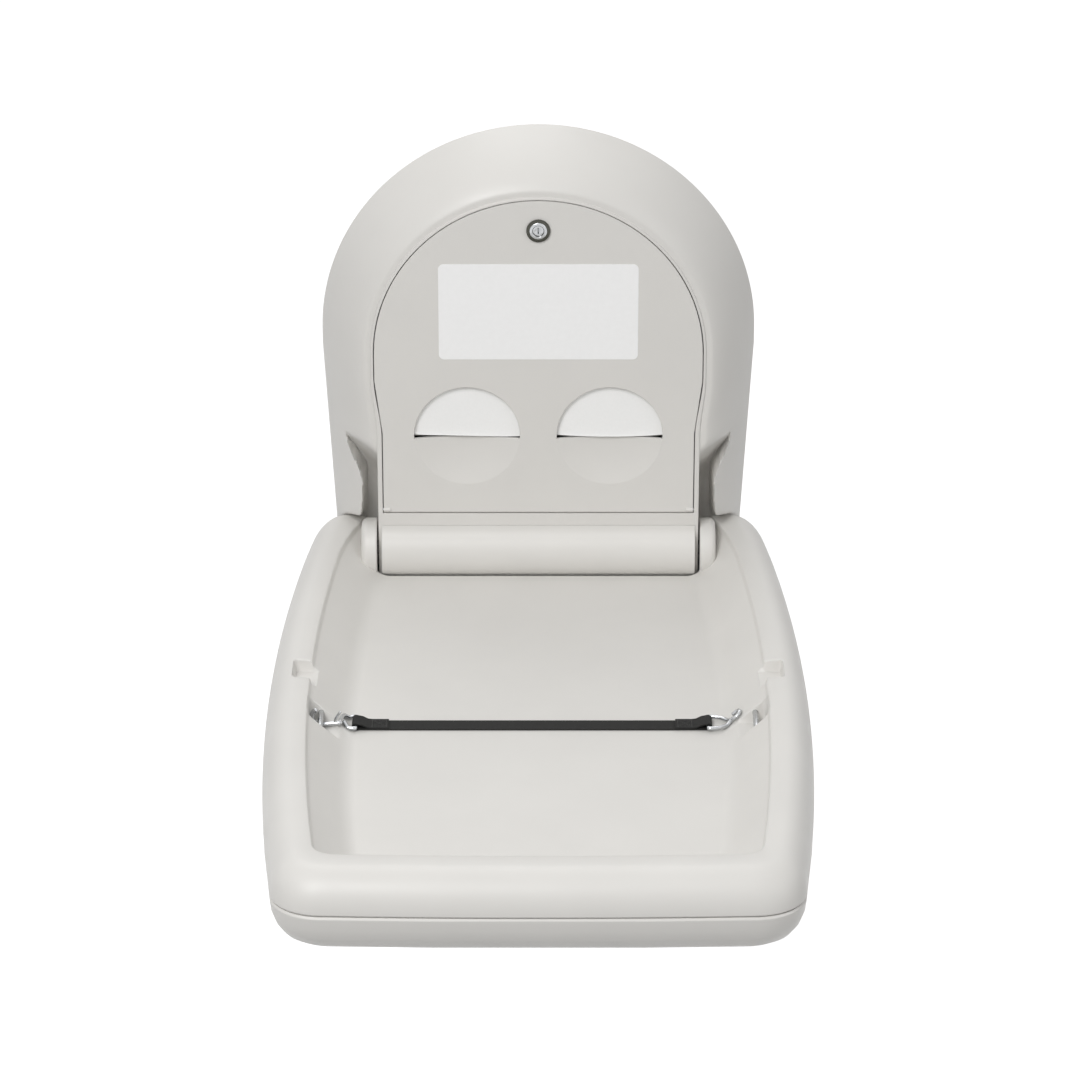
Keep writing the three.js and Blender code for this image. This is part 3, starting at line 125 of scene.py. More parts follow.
NOTCH_INNER = 238 * MM

# Forms of the chassis that its solids have too
FACE_AHEAD = HINGE_Y - FACE_Y
ARCH_Z = 240 * MM
DOOR_RADIUS = DOOR_HIGH.x
DOOR_LOWER = 170.5 * MM
DOOR_FOOT = DOOR_LOW.z
DOOR_SEAM = 1 * MM
FRAME_STRIP = 6.5 * MM
FRAME_LIP = 4 * MM
COLLAR_DEPTH = 13 * MM
BAND_RADIUS = SHELL_HIGH.x
BAND_TAPER = 0.0556
BAND_TAPER_TOP = 222 * MM
BAND_BULGE = 0.5
BAND_END_FACE = 123 * MM
BAND_END_WALL = 69 * MM
CHASSIS_BOTTOM = SHELL_LOW.z
CHEEK_CORNER = 35 * MM
CHEEK_FRONT = 46 * MM

# Rolled edges and soft corners of the bed, on the finished surfaces alone
LIP_INSET = 0.5 * MM
LIP_DROP = 1.6 * MM
LIP_ROLL = 3.2 * MM
FLOOR_FILLET = 9 * MM
POCKET_CORNER = 5 * MM
POCKET_SOFT = 2.2 * MM
NOTCH_REACH = 10 * MM
NOTCH_CORNER = 3 * MM
NOTCH_SOFT = 2.4 * MM
FINE_MARGIN = 6 * MM

# Soft joints between the chassis's faces
DOOR_STEP_HIGH = 214 * MM
DOOR_STEP_LOW = 140 * MM
FACE_ROUND = 1.6 * MM
BAND_SOFT = 7 * MM
CHEEK_SOFT = 26 * MM

# The recess beside the core for the bed's hinge ear, and the band's strip outside it, which runs lower
STRIP_END_FACE = 44 * MM
STRIP_END_WALL = 22 * MM
RECESS_EDGE = EAR_HIGH.x - 2 * MM
RECESS_TILT = 1.1
RECESS_FLARE = 22 * MM
RECESS_FLARE_LOW = 80 * MM
RECESS_FLARE_HIGH = 138 * MM
RECESS_SOFT = 7 * MM

# Wire hooks, thread and screws
WIRE = 2.2 * MM
HOOK_Y = STRAP_Y - 16 * MM
NECK_LEFT = EYE_LEFT - 16 * MM
NECK_RIGHT = EYE_RIGHT + 24 * MM
THREAD = 0.32 * MM
SCREW_HEAD = 5 * MM
SCREW_HEAD_HIGH = 2 * MM
SCREW_SHANK = 2.2 * MM

# The photograph's camera, in metres
CAMERA_AT = (0.0018, -4.728, 2.254)
CAMERA_AIM = (0.0018, -0.060, 0.0086)
CAMERA_LENS = 155.5

# The stage: each lamp's name, place, aim, size in metres and power in watts
LAMPS = (
    ("key_light", (-1.35, -3.0, 3.0), (0, -0.4, 0.1), 1.8, 91),
    ("fill_light", (2.8, -2.0, 1.8), (0, -0.3, 0.2), 2.0, 15),
    ("top_light", (-0.3, 1.4, 2.9), (0, -0.4, 0.1), 1.8, 21),
)
AMBIENT = 0.385
FLOOR_LEVEL = -0.85
FLOOR_REACH = 14


# Settings that a user may change
def look():
    return bpy.context.scene.station_look


def sizes():
    return bpy.context.scene.station_sizes


def linear(hex_colour):
    """An sRGB hex value as linear red, green and blue."""
    shares = [int(hex_colour[i:i + 2], 16) / 255 for i in (1, 3, 5)]
    return [s / 12.92 if s <= 0.04045 else ((s + 0.055) / 1.055) ** 2.4 for s in shares]


def colour_property(name, description, hex_colour):
    return FloatVectorProperty(
        name=name, description=description, default=linear(hex_colour), size=3,
        subtype="COLOR", min=0, max=1,
    )


def length_property(name, description, millimetres):
    return FloatProperty(
        name=name, description=description, default=millimetres * MM,
        min=0, unit="LENGTH", precision=4,
    )


class StationLook(bpy.types.PropertyGroup):
    """Colours of the station's finishes"""

    shell: colour_property("Shell", "Moulded polyethylene of the bed, chassis and door", "#DEDCD8")
    inner: colour_property("Inner moulding", "Liner shelf inside the dispenser", "#CFCDC8")
    paper: colour_property("Paper", "Bed liners", "#F8F8F7")
    vinyl: colour_property("Label", "Blank label plate on the door", "#FAFAFA")
    webbing: colour_property("Webbing", "Safety strap", "#2A2A29")
    thread: colour_property("Thread", "Stitching on the strap", "#30302E")
    floor: colour_property("Floor", "Studio floor", "#BEBEBE")


class StationSizes(bpy.types.PropertyGroup):
    """Sizes of the details that the solids leave out"""

    edge: length_property("Metal edge", "Rounding on the edges of steel parts", 0.5)
    mould_edge: length_property("Moulded edge", "Rounding on the cut edges of the mouldings", 1.4)
    ear_edge: length_property("Ear edge", "Rounding on the outer edge of the bed's hinge ears", 7)
    strap_thick: length_property("Webbing thickness", "Thickness of one layer of webbing", 1.6)
    strap_fold: length_property("Sewn fold", "Length of webbing folded back at each end", 34)
    stitch: length_property("Stitch", "Distance from stitch to stitch", 3)
    liner_hang: length_property("Liner edge", "Height of a liner's lower edge above its shelf", 2.4)
    liner_packet: length_property("Liner packet", "Thickness of one folded liner", 1.9)
    label_half: length_property("Label half width", "Half the width of the door's label plate", 108)
    label_low: length_property("Label foot", "Height of the label plate's lower edge", 234.5)
    label_high: length_property("Label head", "Height of the label plate's upper edge", 346)
    label_corner: length_property("Label corner", "Radius of the label plate's corners", 6)


# Materials
def add(tree, kind, settings=None, inputs=None):
    """One node with its settings, and its inputs given as values or as sockets to link."""
    node = tree.nodes.new(kind)
    for key, value in (settings or {}).items():
        setattr(node, key, value)
    for key, value in (inputs or {}).items():
        if isinstance(value, bpy.types.NodeSocket):
            tree.links.new(value, node.inputs[key])
        else:
            node.inputs[key].default_value = value
    return node


def new_material(name, **inputs):
    """An empty material with a shader, returned as the material, its tree and the shader."""
    material = bpy.data.materials.new(name)
    material.use_nodes = True
    tree = material.node_tree
    shader = tree.nodes["Principled BSDF"]
    for key, value in inputs.items():
        shader.inputs[key.replace("_", " ")].default_value = value
    return material, tree, shader


def rgba(colour):
    return (*colour, 1.0)


def shade(colour, factor):
    return rgba([min(1.0, share * factor) for share in colour])


def object_noise(tree, size, detail=2.0, roughness=0.5, stretch=(1, 1, 1)):
    """Noise on the piece's own coordinates, with features of about the given size."""
    where = add(tree, "ShaderNodeTexCoord")
    turned = add(tree, "ShaderNodeMapping", {}, {"Vector": where.outputs["Object"], "Scale": stretch})
    return add(tree, "ShaderNodeTexNoise", {}, {
        "Vector": turned.outputs["Vector"], "Scale": 1 / size, "Detail": detail, "Roughness": roughness,
    }).outputs["Fac"]


def ramp(tree, source, low, high, start=0.3, end=0.7):
    """A colour between two others by a factor."""
    node = add(tree, "ShaderNodeValToRGB", {}, {"Fac": source})
    node.color_ramp.elements[0].position = start
    node.color_ramp.elements[0].color = low
    node.color_ramp.elements[1].position = end
    node.color_ramp.elements[1].color = high
    return node.outputs["Color"]


def spread(tree, source, low, high):
    """A value between two others by a factor."""
    node = add(tree, "ShaderNodeMapRange", {}, {"Value": source, "To Min": low, "To Max": high})
    return node.outputs["Result"]


def tint(tree, shader, source, colour, low, high, start=0.3, end=0.7):
    """Varies a shader's colour between two shares of one colour by a factor."""
    shades = ramp(tree, source, shade(colour, low), shade(colour, high), start, end)
    tree.links.new(shades, shader.inputs["Base Color"])


def gloss(tree, shader, source, low, high):
    """Varies a shader's roughness between two values by a factor."""
    tree.links.new(spread(tree, source, low, high), shader.inputs["Roughness"])


def relief(tree, shader, height, strength, depth, **inputs):
    """Gives a shader a fine bump."""
    values = {"Strength": strength, "Distance": depth, "Height": height, **inputs}
    bump = add(tree, "ShaderNodeBump", {}, values)
    tree.links.new(bump.outputs["Normal"], shader.inputs["Normal"])


def moulded_polyethylene(name, colour, rough=0.42):
    """Rotomoulded polyethylene: a soft sheen over a fine pebbled skin, with faint flow clouds.

    The real pebble is under a millimetre, so it is drawn coarser to show.
    """
    material, tree, shader = new_material(name, IOR=1.51)
    tint(tree, shader, object_noise(tree, 0.09, detail=3), colour, 0.985, 1.012)
    gloss(tree, shader, object_noise(tree, 0.03), rough - 0.05, rough + 0.06)
    soft = add(tree, "ShaderNodeBevel", {"samples": 6}, {"Radius": sizes().mould_edge})
    pebble = object_noise(tree, 2.4 * MM, detail=1)
    relief(tree, shader, pebble, 0.10, 0.25 * MM, Normal=soft.outputs["Normal"])
    return material


def drawn_steel(name, hex_colour, rough):
    """Steel with a bright plated skin: faint draw lines and a slightly uneven gloss."""
    material, tree, shader = new_material(name, Metallic=1.0)
    lines = object_noise(tree, 1.2 * MM, stretch=(0.1, 1, 1))
    tint(tree, shader, lines, linear(hex_colour), 0.9, 1.05)
    gloss(tree, shader, lines, rough - 0.08, rough + 0.1)
    relief(tree, shader, lines, 0.08, 0.05 * MM)
    return material


def painted_shade_steel(name):
    """A dark metal mirror on a turned ring, with fine lathe lines; its dark colour is painted shade round
    the lock's bright plug.
    """
    material, tree, shader = new_material(name, Metallic=1.0)
    lines = object_noise(tree, 0.8 * MM, stretch=(1, 0.2, 1))
    tint(tree, shader, lines, linear("#55554F"), 0.8, 1.15)
    gloss(tree, shader, lines, 0.24, 0.36)
    return material


def zinc_plate(name):
    """Zinc-plated sheet steel: grey, with a cloudy crystal spangle."""
    material, tree, shader = new_material(name, Metallic=1.0)
    where = add(tree, "ShaderNodeTexCoord")
    cells = add(tree, "ShaderNodeTexVoronoi", {}, {"Vector": where.outputs["Object"], "Scale": 1 / (9 * MM)})
    tint(tree, shader, cells.outputs["Color"], linear("#A9ADB2"), 0.85, 1.1, 0, 1)
    gloss(tree, shader, cells.outputs["Color"], 0.34, 0.52)
    return material


def sintered_bronze(name):
    """Sintered bronze: warm, with open pores."""
    material, tree, shader = new_material(name, Metallic=1.0, Roughness=0.45)
    tint(tree, shader, object_noise(tree, 0.8 * MM, detail=3), linear("#B08D57"), 0.7, 1.05)
    return material


def black_enamel(name):
    """Stoved black enamel on a drawn tube: satin, with a little orange peel."""
    material, tree, shader = new_material(name, Roughness=0.35, IOR=1.5)
    peel = object_noise(tree, 2 * MM)
    tint(tree, shader, peel, linear("#242527"), 0.9, 1.2)
    relief(tree, shader, peel, 0.1, 0.05 * MM)
    return material


def moulded_rubber(name):
    """Moulded rubber: black, dull and a little dusty."""
    material, tree, shader = new_material(name, Roughness=0.85, IOR=1.52)
    tint(tree, shader, object_noise(tree, 4 * MM, detail=4), linear("#1D1D1D"), 0.9, 1.6)
    return material


def liner_paper(name):
    """Soft two-ply paper: bright and matt, with a faint fibre cloud."""
    material, tree, shader = new_material(name, Roughness=0.9, IOR=1.47)
    fibre = object_noise(tree, 3 * MM, detail=5, roughness=0.7)
    tint(tree, shader, fibre, look().paper, 0.975, 1.01)
    relief(tree, shader, fibre, 0.15, 0.1 * MM)
    return material


def label_vinyl(name):
    """Plain vinyl film: smooth, with a slight gloss and a faint roller texture."""
    material, tree, shader = new_material(name, IOR=1.53)
    film = object_noise(tree, 6 * MM)
    tint(tree, shader, film, look().vinyl, 0.99, 1.01)
    gloss(tree, shader, film, 0.3, 0.4)
    return material


def woven_nylon(name, colour, pitch=2.2 * MM):
    """Woven nylon webbing: ribs of warp yarn crossed by weft, with a soft sheen.

    Warp yarns run along the strap; the ribs are drawn at their real pitch.
    """
    material, tree, shader = new_material(name, Roughness=0.7, IOR=1.53)
    uv = add(tree, "ShaderNodeUVMap", {"uv_map": "weave"})
    split = add(tree, "ShaderNodeSeparateXYZ", {}, {"Vector": uv.outputs["UV"]})

    def ripple(source, size, shift):
        turn = add(tree, "ShaderNodeMath", {"operation": "MULTIPLY_ADD"},
                   {0: source, 1: 2 * math.pi / size, 2: shift}).outputs["Value"]
        return add(tree, "ShaderNodeMath", {"operation": "SINE"}, {0: turn}).outputs["Value"]

    warp = ripple(split.outputs["Y"], pitch, 0.0)
    weft = ripple(split.outputs["X"], pitch * 1.3, 0.6)
    cross = add(tree, "ShaderNodeMath", {"operation": "MULTIPLY"}, {0: warp, 1: weft}).outputs["Value"]
    height = spread(tree, cross, 0.2, 0.8)
    fuzz = object_noise(tree, 0.9 * MM, detail=3)
    mixed = add(tree, "ShaderNodeMath", {"operation": "MULTIPLY"}, {0: height, 1: fuzz}).outputs["Value"]
    tint(tree, shader, mixed, colour, 0.7, 1.3, 0.1, 0.6)
    relief(tree, shader, height, 0.6, 0.35 * MM)
    shader.inputs["Specular IOR Level"].default_value = 0.2
    return material


def studio_floor(name, colour):
    """Painted studio floor that stays pale behind the station and takes its shadow."""
    material, tree, shader = new_material(name, Roughness=0.9)
    tint(tree, shader, object_noise(tree, 0.4), colour, 0.995, 1.0)
    shader.inputs["Emission Color"].default_value = (1, 1, 1, 1)
    tree.links.new(spread(tree, looked_at(tree), 0.0, 0.8), shader.inputs["Emission Strength"])
    return material


def looked_at(tree):
    """1 where the camera, a reflection or a look through glass sees a surface, and 0 for other light."""
    path = add(tree, "ShaderNodeLightPath")
    total = path.outputs["Is Camera Ray"]
    for kind in ("Is Glossy Ray", "Is Transmission Ray"):
        either = add(tree, "ShaderNodeMath", {"operation": "MAXIMUM"}, {0: total, 1: path.outputs[kind]})
        total = either.outputs["Value"]
    return total


def finish_for(slot):
    """The finished material of a slot of the record, made once."""
    makers = {
        "moulded_shell": lambda: moulded_polyethylene("moulded_polyethylene", look().shell),
        "inner_moulding": lambda: moulded_polyethylene("satin_polyethylene", look().inner, rough=0.5),
        "bright_steel": lambda: drawn_steel("polished_steel", "#C6C8CA", 0.22),
        "zinc_steel": lambda: zinc_plate("zinc_plate"),
        "bush_bronze": lambda: sintered_bronze("sintered_bronze"),
        "cylinder_black": lambda: black_enamel("black_enamel"),
        "rubber": lambda: moulded_rubber("moulded_rubber"),
        "paper": lambda: liner_paper("liner_paper"),
        "webbing": lambda: woven_nylon("woven_nylon", look().webbing),
    }
    if slot not in FINISHES:
        FINISHES[slot] = makers[slot]()
    return FINISHES[slot]


# Meshes
def merged_copy(node):
    """The faces of a solid as a mesh with shared corners and no needless edges."""
    mesh = bmesh.new()
    mesh.from_mesh(frame["nodes"][node].data)
    bmesh.ops.remove_doubles(mesh, verts=mesh.verts, dist=0.005 * MM)
    bmesh.ops.dissolve_limit(mesh, angle_limit=math.radians(0.4), verts=mesh.verts, edges=mesh.edges)
    return mesh


def smooth_by_angle(mesh, degrees):
    for face in mesh.faces:
        face.smooth = True
    for edge in mesh.edges:
        edge.smooth = len(edge.link_faces) == 2 and edge.calc_face_angle(0) < math.radians(degrees)


def mesh_data(name, mesh):
    """Mesh data from a bmesh, which is then freed."""
    data = bpy.data.meshes.new(name)
    mesh.to_mesh(data)
    mesh.free()
    return data


def in_scene(name, data):
    """A new object in the scene."""
    thing = bpy.data.objects.new(name, data)
    bpy.context.scene.collection.objects.link(thing)
    return thing


def settle(name, data, body, stands_for):
    """A finished piece on a body, in place of the solids that it stands for."""
    piece = in_scene(name, data)
    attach(piece, body)
    if stands_for:
        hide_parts(*stands_for)


def place(name, mesh, body, material, stands_for=()):
    """Turns a bmesh into a finished piece on a body."""
    data = mesh_data(name, mesh)
    data.materials.clear()
    data.materials.append(material)
    settle(name, data, body, stands_for)


def dressed(node, edge=0.0, angle=32, finish=None):
    """A finished piece of a solid's own shape, with its sharp edges rounded when an edge size is given."""
    mesh = merged_copy(node)
    if edge > 0:
        limit = math.radians(angle)
        sharp = [e for e in mesh.edges if len(e.link_faces) == 2 and e.calc_face_angle(0) > limit]
        bmesh.ops.bevel(
            mesh, geom=sharp, offset=edge, offset_type="OFFSET", segments=2, profile=0.5,
            affect="EDGES", clamp_overlap=True,
        )
    smooth_by_angle(mesh, angle)
    slot = SLOT_OF[node]
    place(node + "_finished", mesh, BODY_OF[node], finish or finish_for(slot), [node])


def join_rings(mesh, first, second):
    """Quads between two closed rings of equally many corners."""
    count = len(first)
    for k in range(count):
        n = (k + 1) % count
        mesh.faces.new((first[k], first[n], second[n], second[k]))


def circle(sides):
    """Cosines and sines at even steps around a circle."""
    turns = [2 * math.pi * k / sides for k in range(sides)]
    return [(math.cos(t), math.sin(t)) for t in turns]


def directions(points):
    """The direction of a chain of points at each of them."""
    last = len(points) - 1
    return [(points[min(i + 1, last)] - points[max(i - 1, 0)]).normalized() for i in range(last + 1)]


def tube(mesh, points, radius, sides=14):
    """A round wire with domed ends along a list of points."""
    rings = []
    normal = None
    for point, along in zip(points, directions(points)):
        if normal is None:
            normal = along.orthogonal().normalized()
        normal = (normal - along * normal.dot(along)).normalized()
        across = along.cross(normal)
        rings.append([mesh.verts.new(point + radius * (c * normal + s * across)) for c, s in circle(sides)])
    for first, second in zip(rings, rings[1:]):
        join_rings(mesh, first, second)
    for ring, end, inside in ((rings[0], points[0], points[1]), (rings[-1], points[-1], points[-2])):
        tip = mesh.verts.new(end + (end - inside).normalized() * radius * 0.6)
        for k in range(sides):
            mesh.faces.new((tip, ring[(k + 1) % sides], ring[k]))


def curve_points(points, per_span=8):
    """A smooth curve through a list of points."""
    ends = [Vector(p) for p in points]
    padded = [2 * ends[0] - ends[1], *ends, 2 * ends[-1] - ends[-2]]
    out = []
    for a, b, c, d in zip(padded, padded[1:], padded[2:], padded[3:]):
        for i in range(per_span):
            t = i / per_span
            out.append(0.5 * (2 * b + (c - a) * t + (2 * a - 5 * b + 4 * c - d) * t * t
                              + (3 * b - a - 3 * c + d) * t ** 3))
    return [*out, ends[-1]]


def outward(mesh):
    """Joins the corners of a closed mesh and turns its faces outwards."""
    bmesh.ops.remove_doubles(mesh, verts=mesh.verts, dist=0.002 * MM)
    bmesh.ops.recalc_face_normals(mesh, faces=mesh.faces)


def face_towards(mesh, direction):
    """Turns the faces of an open skin so that most of it looks one way."""
    bmesh.ops.recalc_face_normals(mesh, faces=mesh.faces)
    mesh.normal_update()
    if sum(face.normal.dot(direction) * face.calc_area() for face in mesh.faces) < 0:
        bmesh.ops.reverse_faces(mesh, faces=mesh.faces)


def thickened(mesh, thick):
    """A skin given thickness on its inner side."""
    bmesh.ops.solidify(mesh, geom=mesh.faces[:], thickness=thick)
    bmesh.ops.recalc_face_normals(mesh, faces=mesh.faces)
    return mesh


def soft_max(a, b, soft):
    """The larger of two values, with a rounded change from one to the other."""
    share = max(soft - abs(a - b), 0.0) / soft
    return max(a, b) + share * share * soft / 4


def smooth_step(value):
    t = min(max(value, 0.0), 1.0)
    return t * t * (3 - 2 * t)


def bezier(a, b, c, d, count):
    """Points of a cubic curve in a plane, without its first one."""
    out = []
    for i in range(1, count + 1):
        t = i / count
        u = 1 - t
        weights = (u ** 3, 3 * u * u * t, 3 * u * t * t, t ** 3)
        out.append(tuple(sum(w * p[k] for w, p in zip(weights, (a, b, c, d))) for k in (0, 1)))
    return out


def skin(mesh, rows):
    """Quads between rows of equally many corners."""
    for first, second in zip(rows, rows[1:]):
        for k in range(len(first) - 1):
            mesh.faces.new((first[k], first[k + 1], second[k + 1], second[k]))


# Bed tray: a section swept from one tail round the front to the other
# A place on the bed is its distance s from the hinge axis, which runs along -Y.
def bed_half_width(s):
    away = (s - BED_WIDEST) / BED_TAPER_RUN
    return BED_HALF - BED_TAPER * away * away


def rear_draw(s):
    share = max(0.0, (REAR_DRAW_FROM - s) / (REAR_DRAW_FROM + BED_TAIL))
    return REAR_DRAW * share * share


def tray_section():
    """Inset and height of the tray's upper face, from its joint with the base to the floor."""
    crest = RIM_SIDE * RIM_CREST
    rise = RIM_TOP - PARTING
    rows = [(PARTING_EASE, PARTING)]
    for i in range(1, 33):
        angle = math.pi / 2 * i / 32
        rows.append((crest * (1 - math.cos(angle)), PARTING + rise * math.sin(angle)))

    def wall(run):
        return (RIM_SIDE + run, RIM_EDGE - run * WALL_SLOPE)

    # The rim stays nearly level up to a tight lip
    lip = (RIM_SIDE - LIP_INSET, RIM_TOP - LIP_DROP)
    for i in range(1, 9):
        t = i / 8
        rows.append((crest + (lip[0] - crest) * t, RIM_TOP + (lip[1] - RIM_TOP) * t * t))
    over = (lip[0] + 2.1 * MM, lip[1] - 0.4 * MM)
    rows += bezier(lip, over, wall(1 * MM), wall(LIP_ROLL), 10)
    for i in range(1, 15):
        rows.append(wall(LIP_ROLL + (WALL_RUN - FLOOR_FILLET - LIP_ROLL) * i / 14))
    foot = RIM_SIDE + WALL_RUN
    near = (foot + FLOOR_FILLET / 3, FLOOR_Z)
    rows += bezier(rows[-1], wall(WALL_RUN - FLOOR_FILLET / 3), near, (foot + FLOOR_FILLET, FLOOR_Z), 7)
    return rows


def side_stations(tail, end):
    """Places along one side, close together where the pocket and the notch are."""
    fine_from = NOTCH_FROM - FINE_MARGIN
    fine_to = HINGE_Y - BAR_LEFT.y + POCKET_HALF + FINE_MARGIN
    out = [tail]
    for start, stop, count in ((tail, fine_from, 60), (fine_from, fine_to, 91), (fine_to, end, 48)):
        out += [start + (stop - start) * i / count for i in range(1, count + 1)]
    return out


def tray_path(side):
    """One row of the tray in X and s, from the right tail to the middle of the front."""
    in_rim = min(side, RIM_SIDE) / RIM_SIDE
    front = RIM_FRONT * in_rim + max(side - RIM_SIDE, 0.0)
    corner = max(FRONT_CORNER - 0.45 * side, FRONT_CORNER / 2)
    nose_s = BED_REACH - front

    def half(s):
        return bed_half_width(s) - side - in_rim * rear_draw(s)

    def nose(x):
        return BED_REACH - FRONT_BOW * (x / BED_HALF) ** 2 - front

    side_end = nose_s - corner
    tail = tail_end(half)
    path = [(half(s), s) for s in side_stations(tail, side_end)]
    nose_x = half(nose_s) - corner
    pull = 0.45
    path += bezier(
        path[-1], (half(nose_s), nose_s + (side_end - nose_s) * pull),
        (half(nose_s) + (nose_x - half(nose_s)) * pull, nose(half(nose_s))), (nose_x, nose(nose_x)), 16,
    )
    for i in range(1, 13):
        x = nose_x * (1 - i / 12)
        path.append((x, nose(x)))
    return path


def tail_end(half):
    """Where a row stops: at the floor's rear edge, beside the barrel or on the rounded tail."""
    centre = bed_half_width(REAR_CORNER - BED_TAIL) - REAR_CORNER
    s = FLOOR_REAR
    step = 0.5 * MM
    while True:
        x = half(s - step)
        over = min(max(x - centre, 0.0), REAR_CORNER)
        rear = REAR_CORNER - BED_TAIL - math.sqrt(REAR_CORNER ** 2 - over ** 2)
        if x < EAR_LOW.x or s - step < rear:
            return s
        s -= step


def hollow_share(x, s, middle, half, corner, soft):
    """How far a place lies inside a round-cornered hollow, from 0 outside to 1 inside."""
    away = [max(abs(p - m) - (h - corner), 0.0) for p, m, h in zip((x, s), middle, half)]
    return smooth_step((corner - math.hypot(*away)) / soft + 0.5)


def tray_height(x, s, z):
    """Height of the tray's face with the strap pockets and bag notches sunk into it."""
    notch_middle = (NOTCH_INNER + NOTCH_WIDE / 2 - NOTCH_REACH, NOTCH_FROM + NOTCH_LENGTH / 2)
    notch_half = (NOTCH_WIDE / 2 + NOTCH_REACH, NOTCH_LENGTH / 2)
    notch = hollow_share(abs(x), s, notch_middle, notch_half, NOTCH_CORNER, NOTCH_SOFT)
    z -= notch * max(z - (RIM_TOP - NOTCH_DEEP), 0.0)
    pocket_middle = (BAR_RIGHT.x - POCKET_ROOM / 2, HINGE_Y - BAR_LEFT.y)
    pocket_half = (1.5 * POCKET_ROOM, POCKET_HALF)
    pocket = hollow_share(abs(x), s, pocket_middle, pocket_half, POCKET_CORNER, POCKET_SOFT)
    return z - pocket * max(z - (BAR_LEFT.z - POCKET_ROOM), 0.0)


def tray_mesh():
    """The tray's upper shell as one skin; the shells operator gives it its thickness."""
    mesh = bmesh.new()
    rows = []
    for side, z in tray_section():
        right = tray_path(side)
        whole = right + [(-x, s) for x, s in reversed(right[:-1])]
        rows.append([mesh.verts.new((x, HINGE_Y - s, tray_height(x, s, z))) for x, s in whole])
    skin(mesh, rows)
    mesh.faces.new(rows[-1])
    for end in (0, -1):
        column = [row[end] for row in rows]
        outer = [v for v in column if abs(v.co.x) > EAR_LOW.x + 0.6 * MM]
        foot = mesh.verts.new((outer[-1].co.x, outer[-1].co.y, PARTING))
        mesh.faces.new([*outer, foot])
    face_towards(mesh, (0, 0, 1))
    return mesh


# Chassis: rows from the door's seam over the band to the wall
def step_share(z):
    """How far up the door's widening a height lies, from 0 below it to 1 above."""
    return min(max((z - DOOR_STEP_LOW) / (DOOR_STEP_HIGH - DOOR_STEP_LOW), 0.0), 1.0)


def door_half(z):
    return DOOR_LOWER + (DOOR_RADIUS - DOOR_LOWER) * smooth_step(step_share(z))


def face_half(z):
    return door_half(z) + FRAME_STRIP + (FRAME_LIP - FRAME_STRIP) * step_share(z)


def band_half(z):
    wide = BAND_RADIUS - BAND_TAPER * max(BAND_TAPER_TOP - z, 0.0)
    low = max(CHASSIS_BOTTOM + CHEEK_CORNER - z, 0.0)
    return wide - CHEEK_CORNER + math.sqrt(max(CHEEK_CORNER ** 2 - low ** 2, 0.0))


def cheek_depth(x, z):
    """How far back the low cheek's face lies at a place, measured from the hinge axis.

    Beside the core it makes room for the bed's hinge ear, and further out the band runs lower.
    """
    flare = smooth_step((z - RECESS_FLARE_LOW) / (RECESS_FLARE_HIGH - RECESS_FLARE_LOW))
    share = smooth_step((x - RECESS_EDGE - RECESS_FLARE * flare) / RECESS_SOFT + 0.5)
    run = CHEEK_FRONT + FACE_AHEAD

    def under(end_face, end_wall):
        slope = (end_face - z) * run / (end_face - end_wall) - FACE_AHEAD
        return -soft_max(-slope, -CHEEK_FRONT, CHEEK_SOFT)

    tilt = RECESS_TILT * max(x - face_half(z), 0.0)
    recess = under(BAND_END_FACE + tilt, BAND_END_WALL + tilt)
    return recess + (under(STRIP_END_FACE, STRIP_END_WALL) - recess) * share


def chassis_rows():
    """Rows of the chassis from the seam to the wall, each from the right foot over the arch to the left."""
    heights = [CHASSIS_BOTTOM + (ARCH_Z - CHASSIS_BOTTOM) * i / 110 for i in range(111)]
    turns = [math.pi * i / 96 for i in range(1, 96)]
    depth = FACE_AHEAD - HINGE_Y

    def row(side_place, arch_radius, arch_depth):
        right = [(*side_place(z), z) for z in heights]
        arch = [(arch_radius * math.cos(a), arch_depth, ARCH_Z + arch_radius * math.sin(a)) for a in turns]
        left = [(-x, y, z) for x, y, z in reversed(right)]
        return [Vector((x, HINGE_Y + y, z)) for x, y, z in right + arch + left]

    face_radius = DOOR_RADIUS + FRAME_LIP
    rows = []
    for inset, drop in ((FACE_ROUND, 0.0), (FACE_ROUND / 4, FACE_ROUND / 4)):

        def lip_place(z, inset=inset, drop=drop):
            return (face_half(z) - inset, drop - FACE_AHEAD)

        rows.append(row(lip_place, face_radius - inset, drop - FACE_AHEAD))
    floor = FACE_ROUND - FACE_AHEAD
    for t in [(i / 40) ** 1.6 for i in range(41)]:
        share = BAND_BULGE * math.sqrt(1 - (1 - t) ** 2) + (1 - BAND_BULGE) * t
        back = -FACE_AHEAD + t * depth

        def side_place(z, share=share, back=back):
            inner = face_half(z)
            x = inner + (band_half(z) - inner) * share
            return (x, soft_max(max(back, floor), cheek_depth(x, z), BAND_SOFT))

        rows.append(row(side_place, face_radius + (BAND_RADIUS - face_radius) * share, max(back, floor)))
    wall = -HINGE_Y
    rows.append(row(lambda z: (band_half(z), wall), BAND_RADIUS, wall))
    return rows


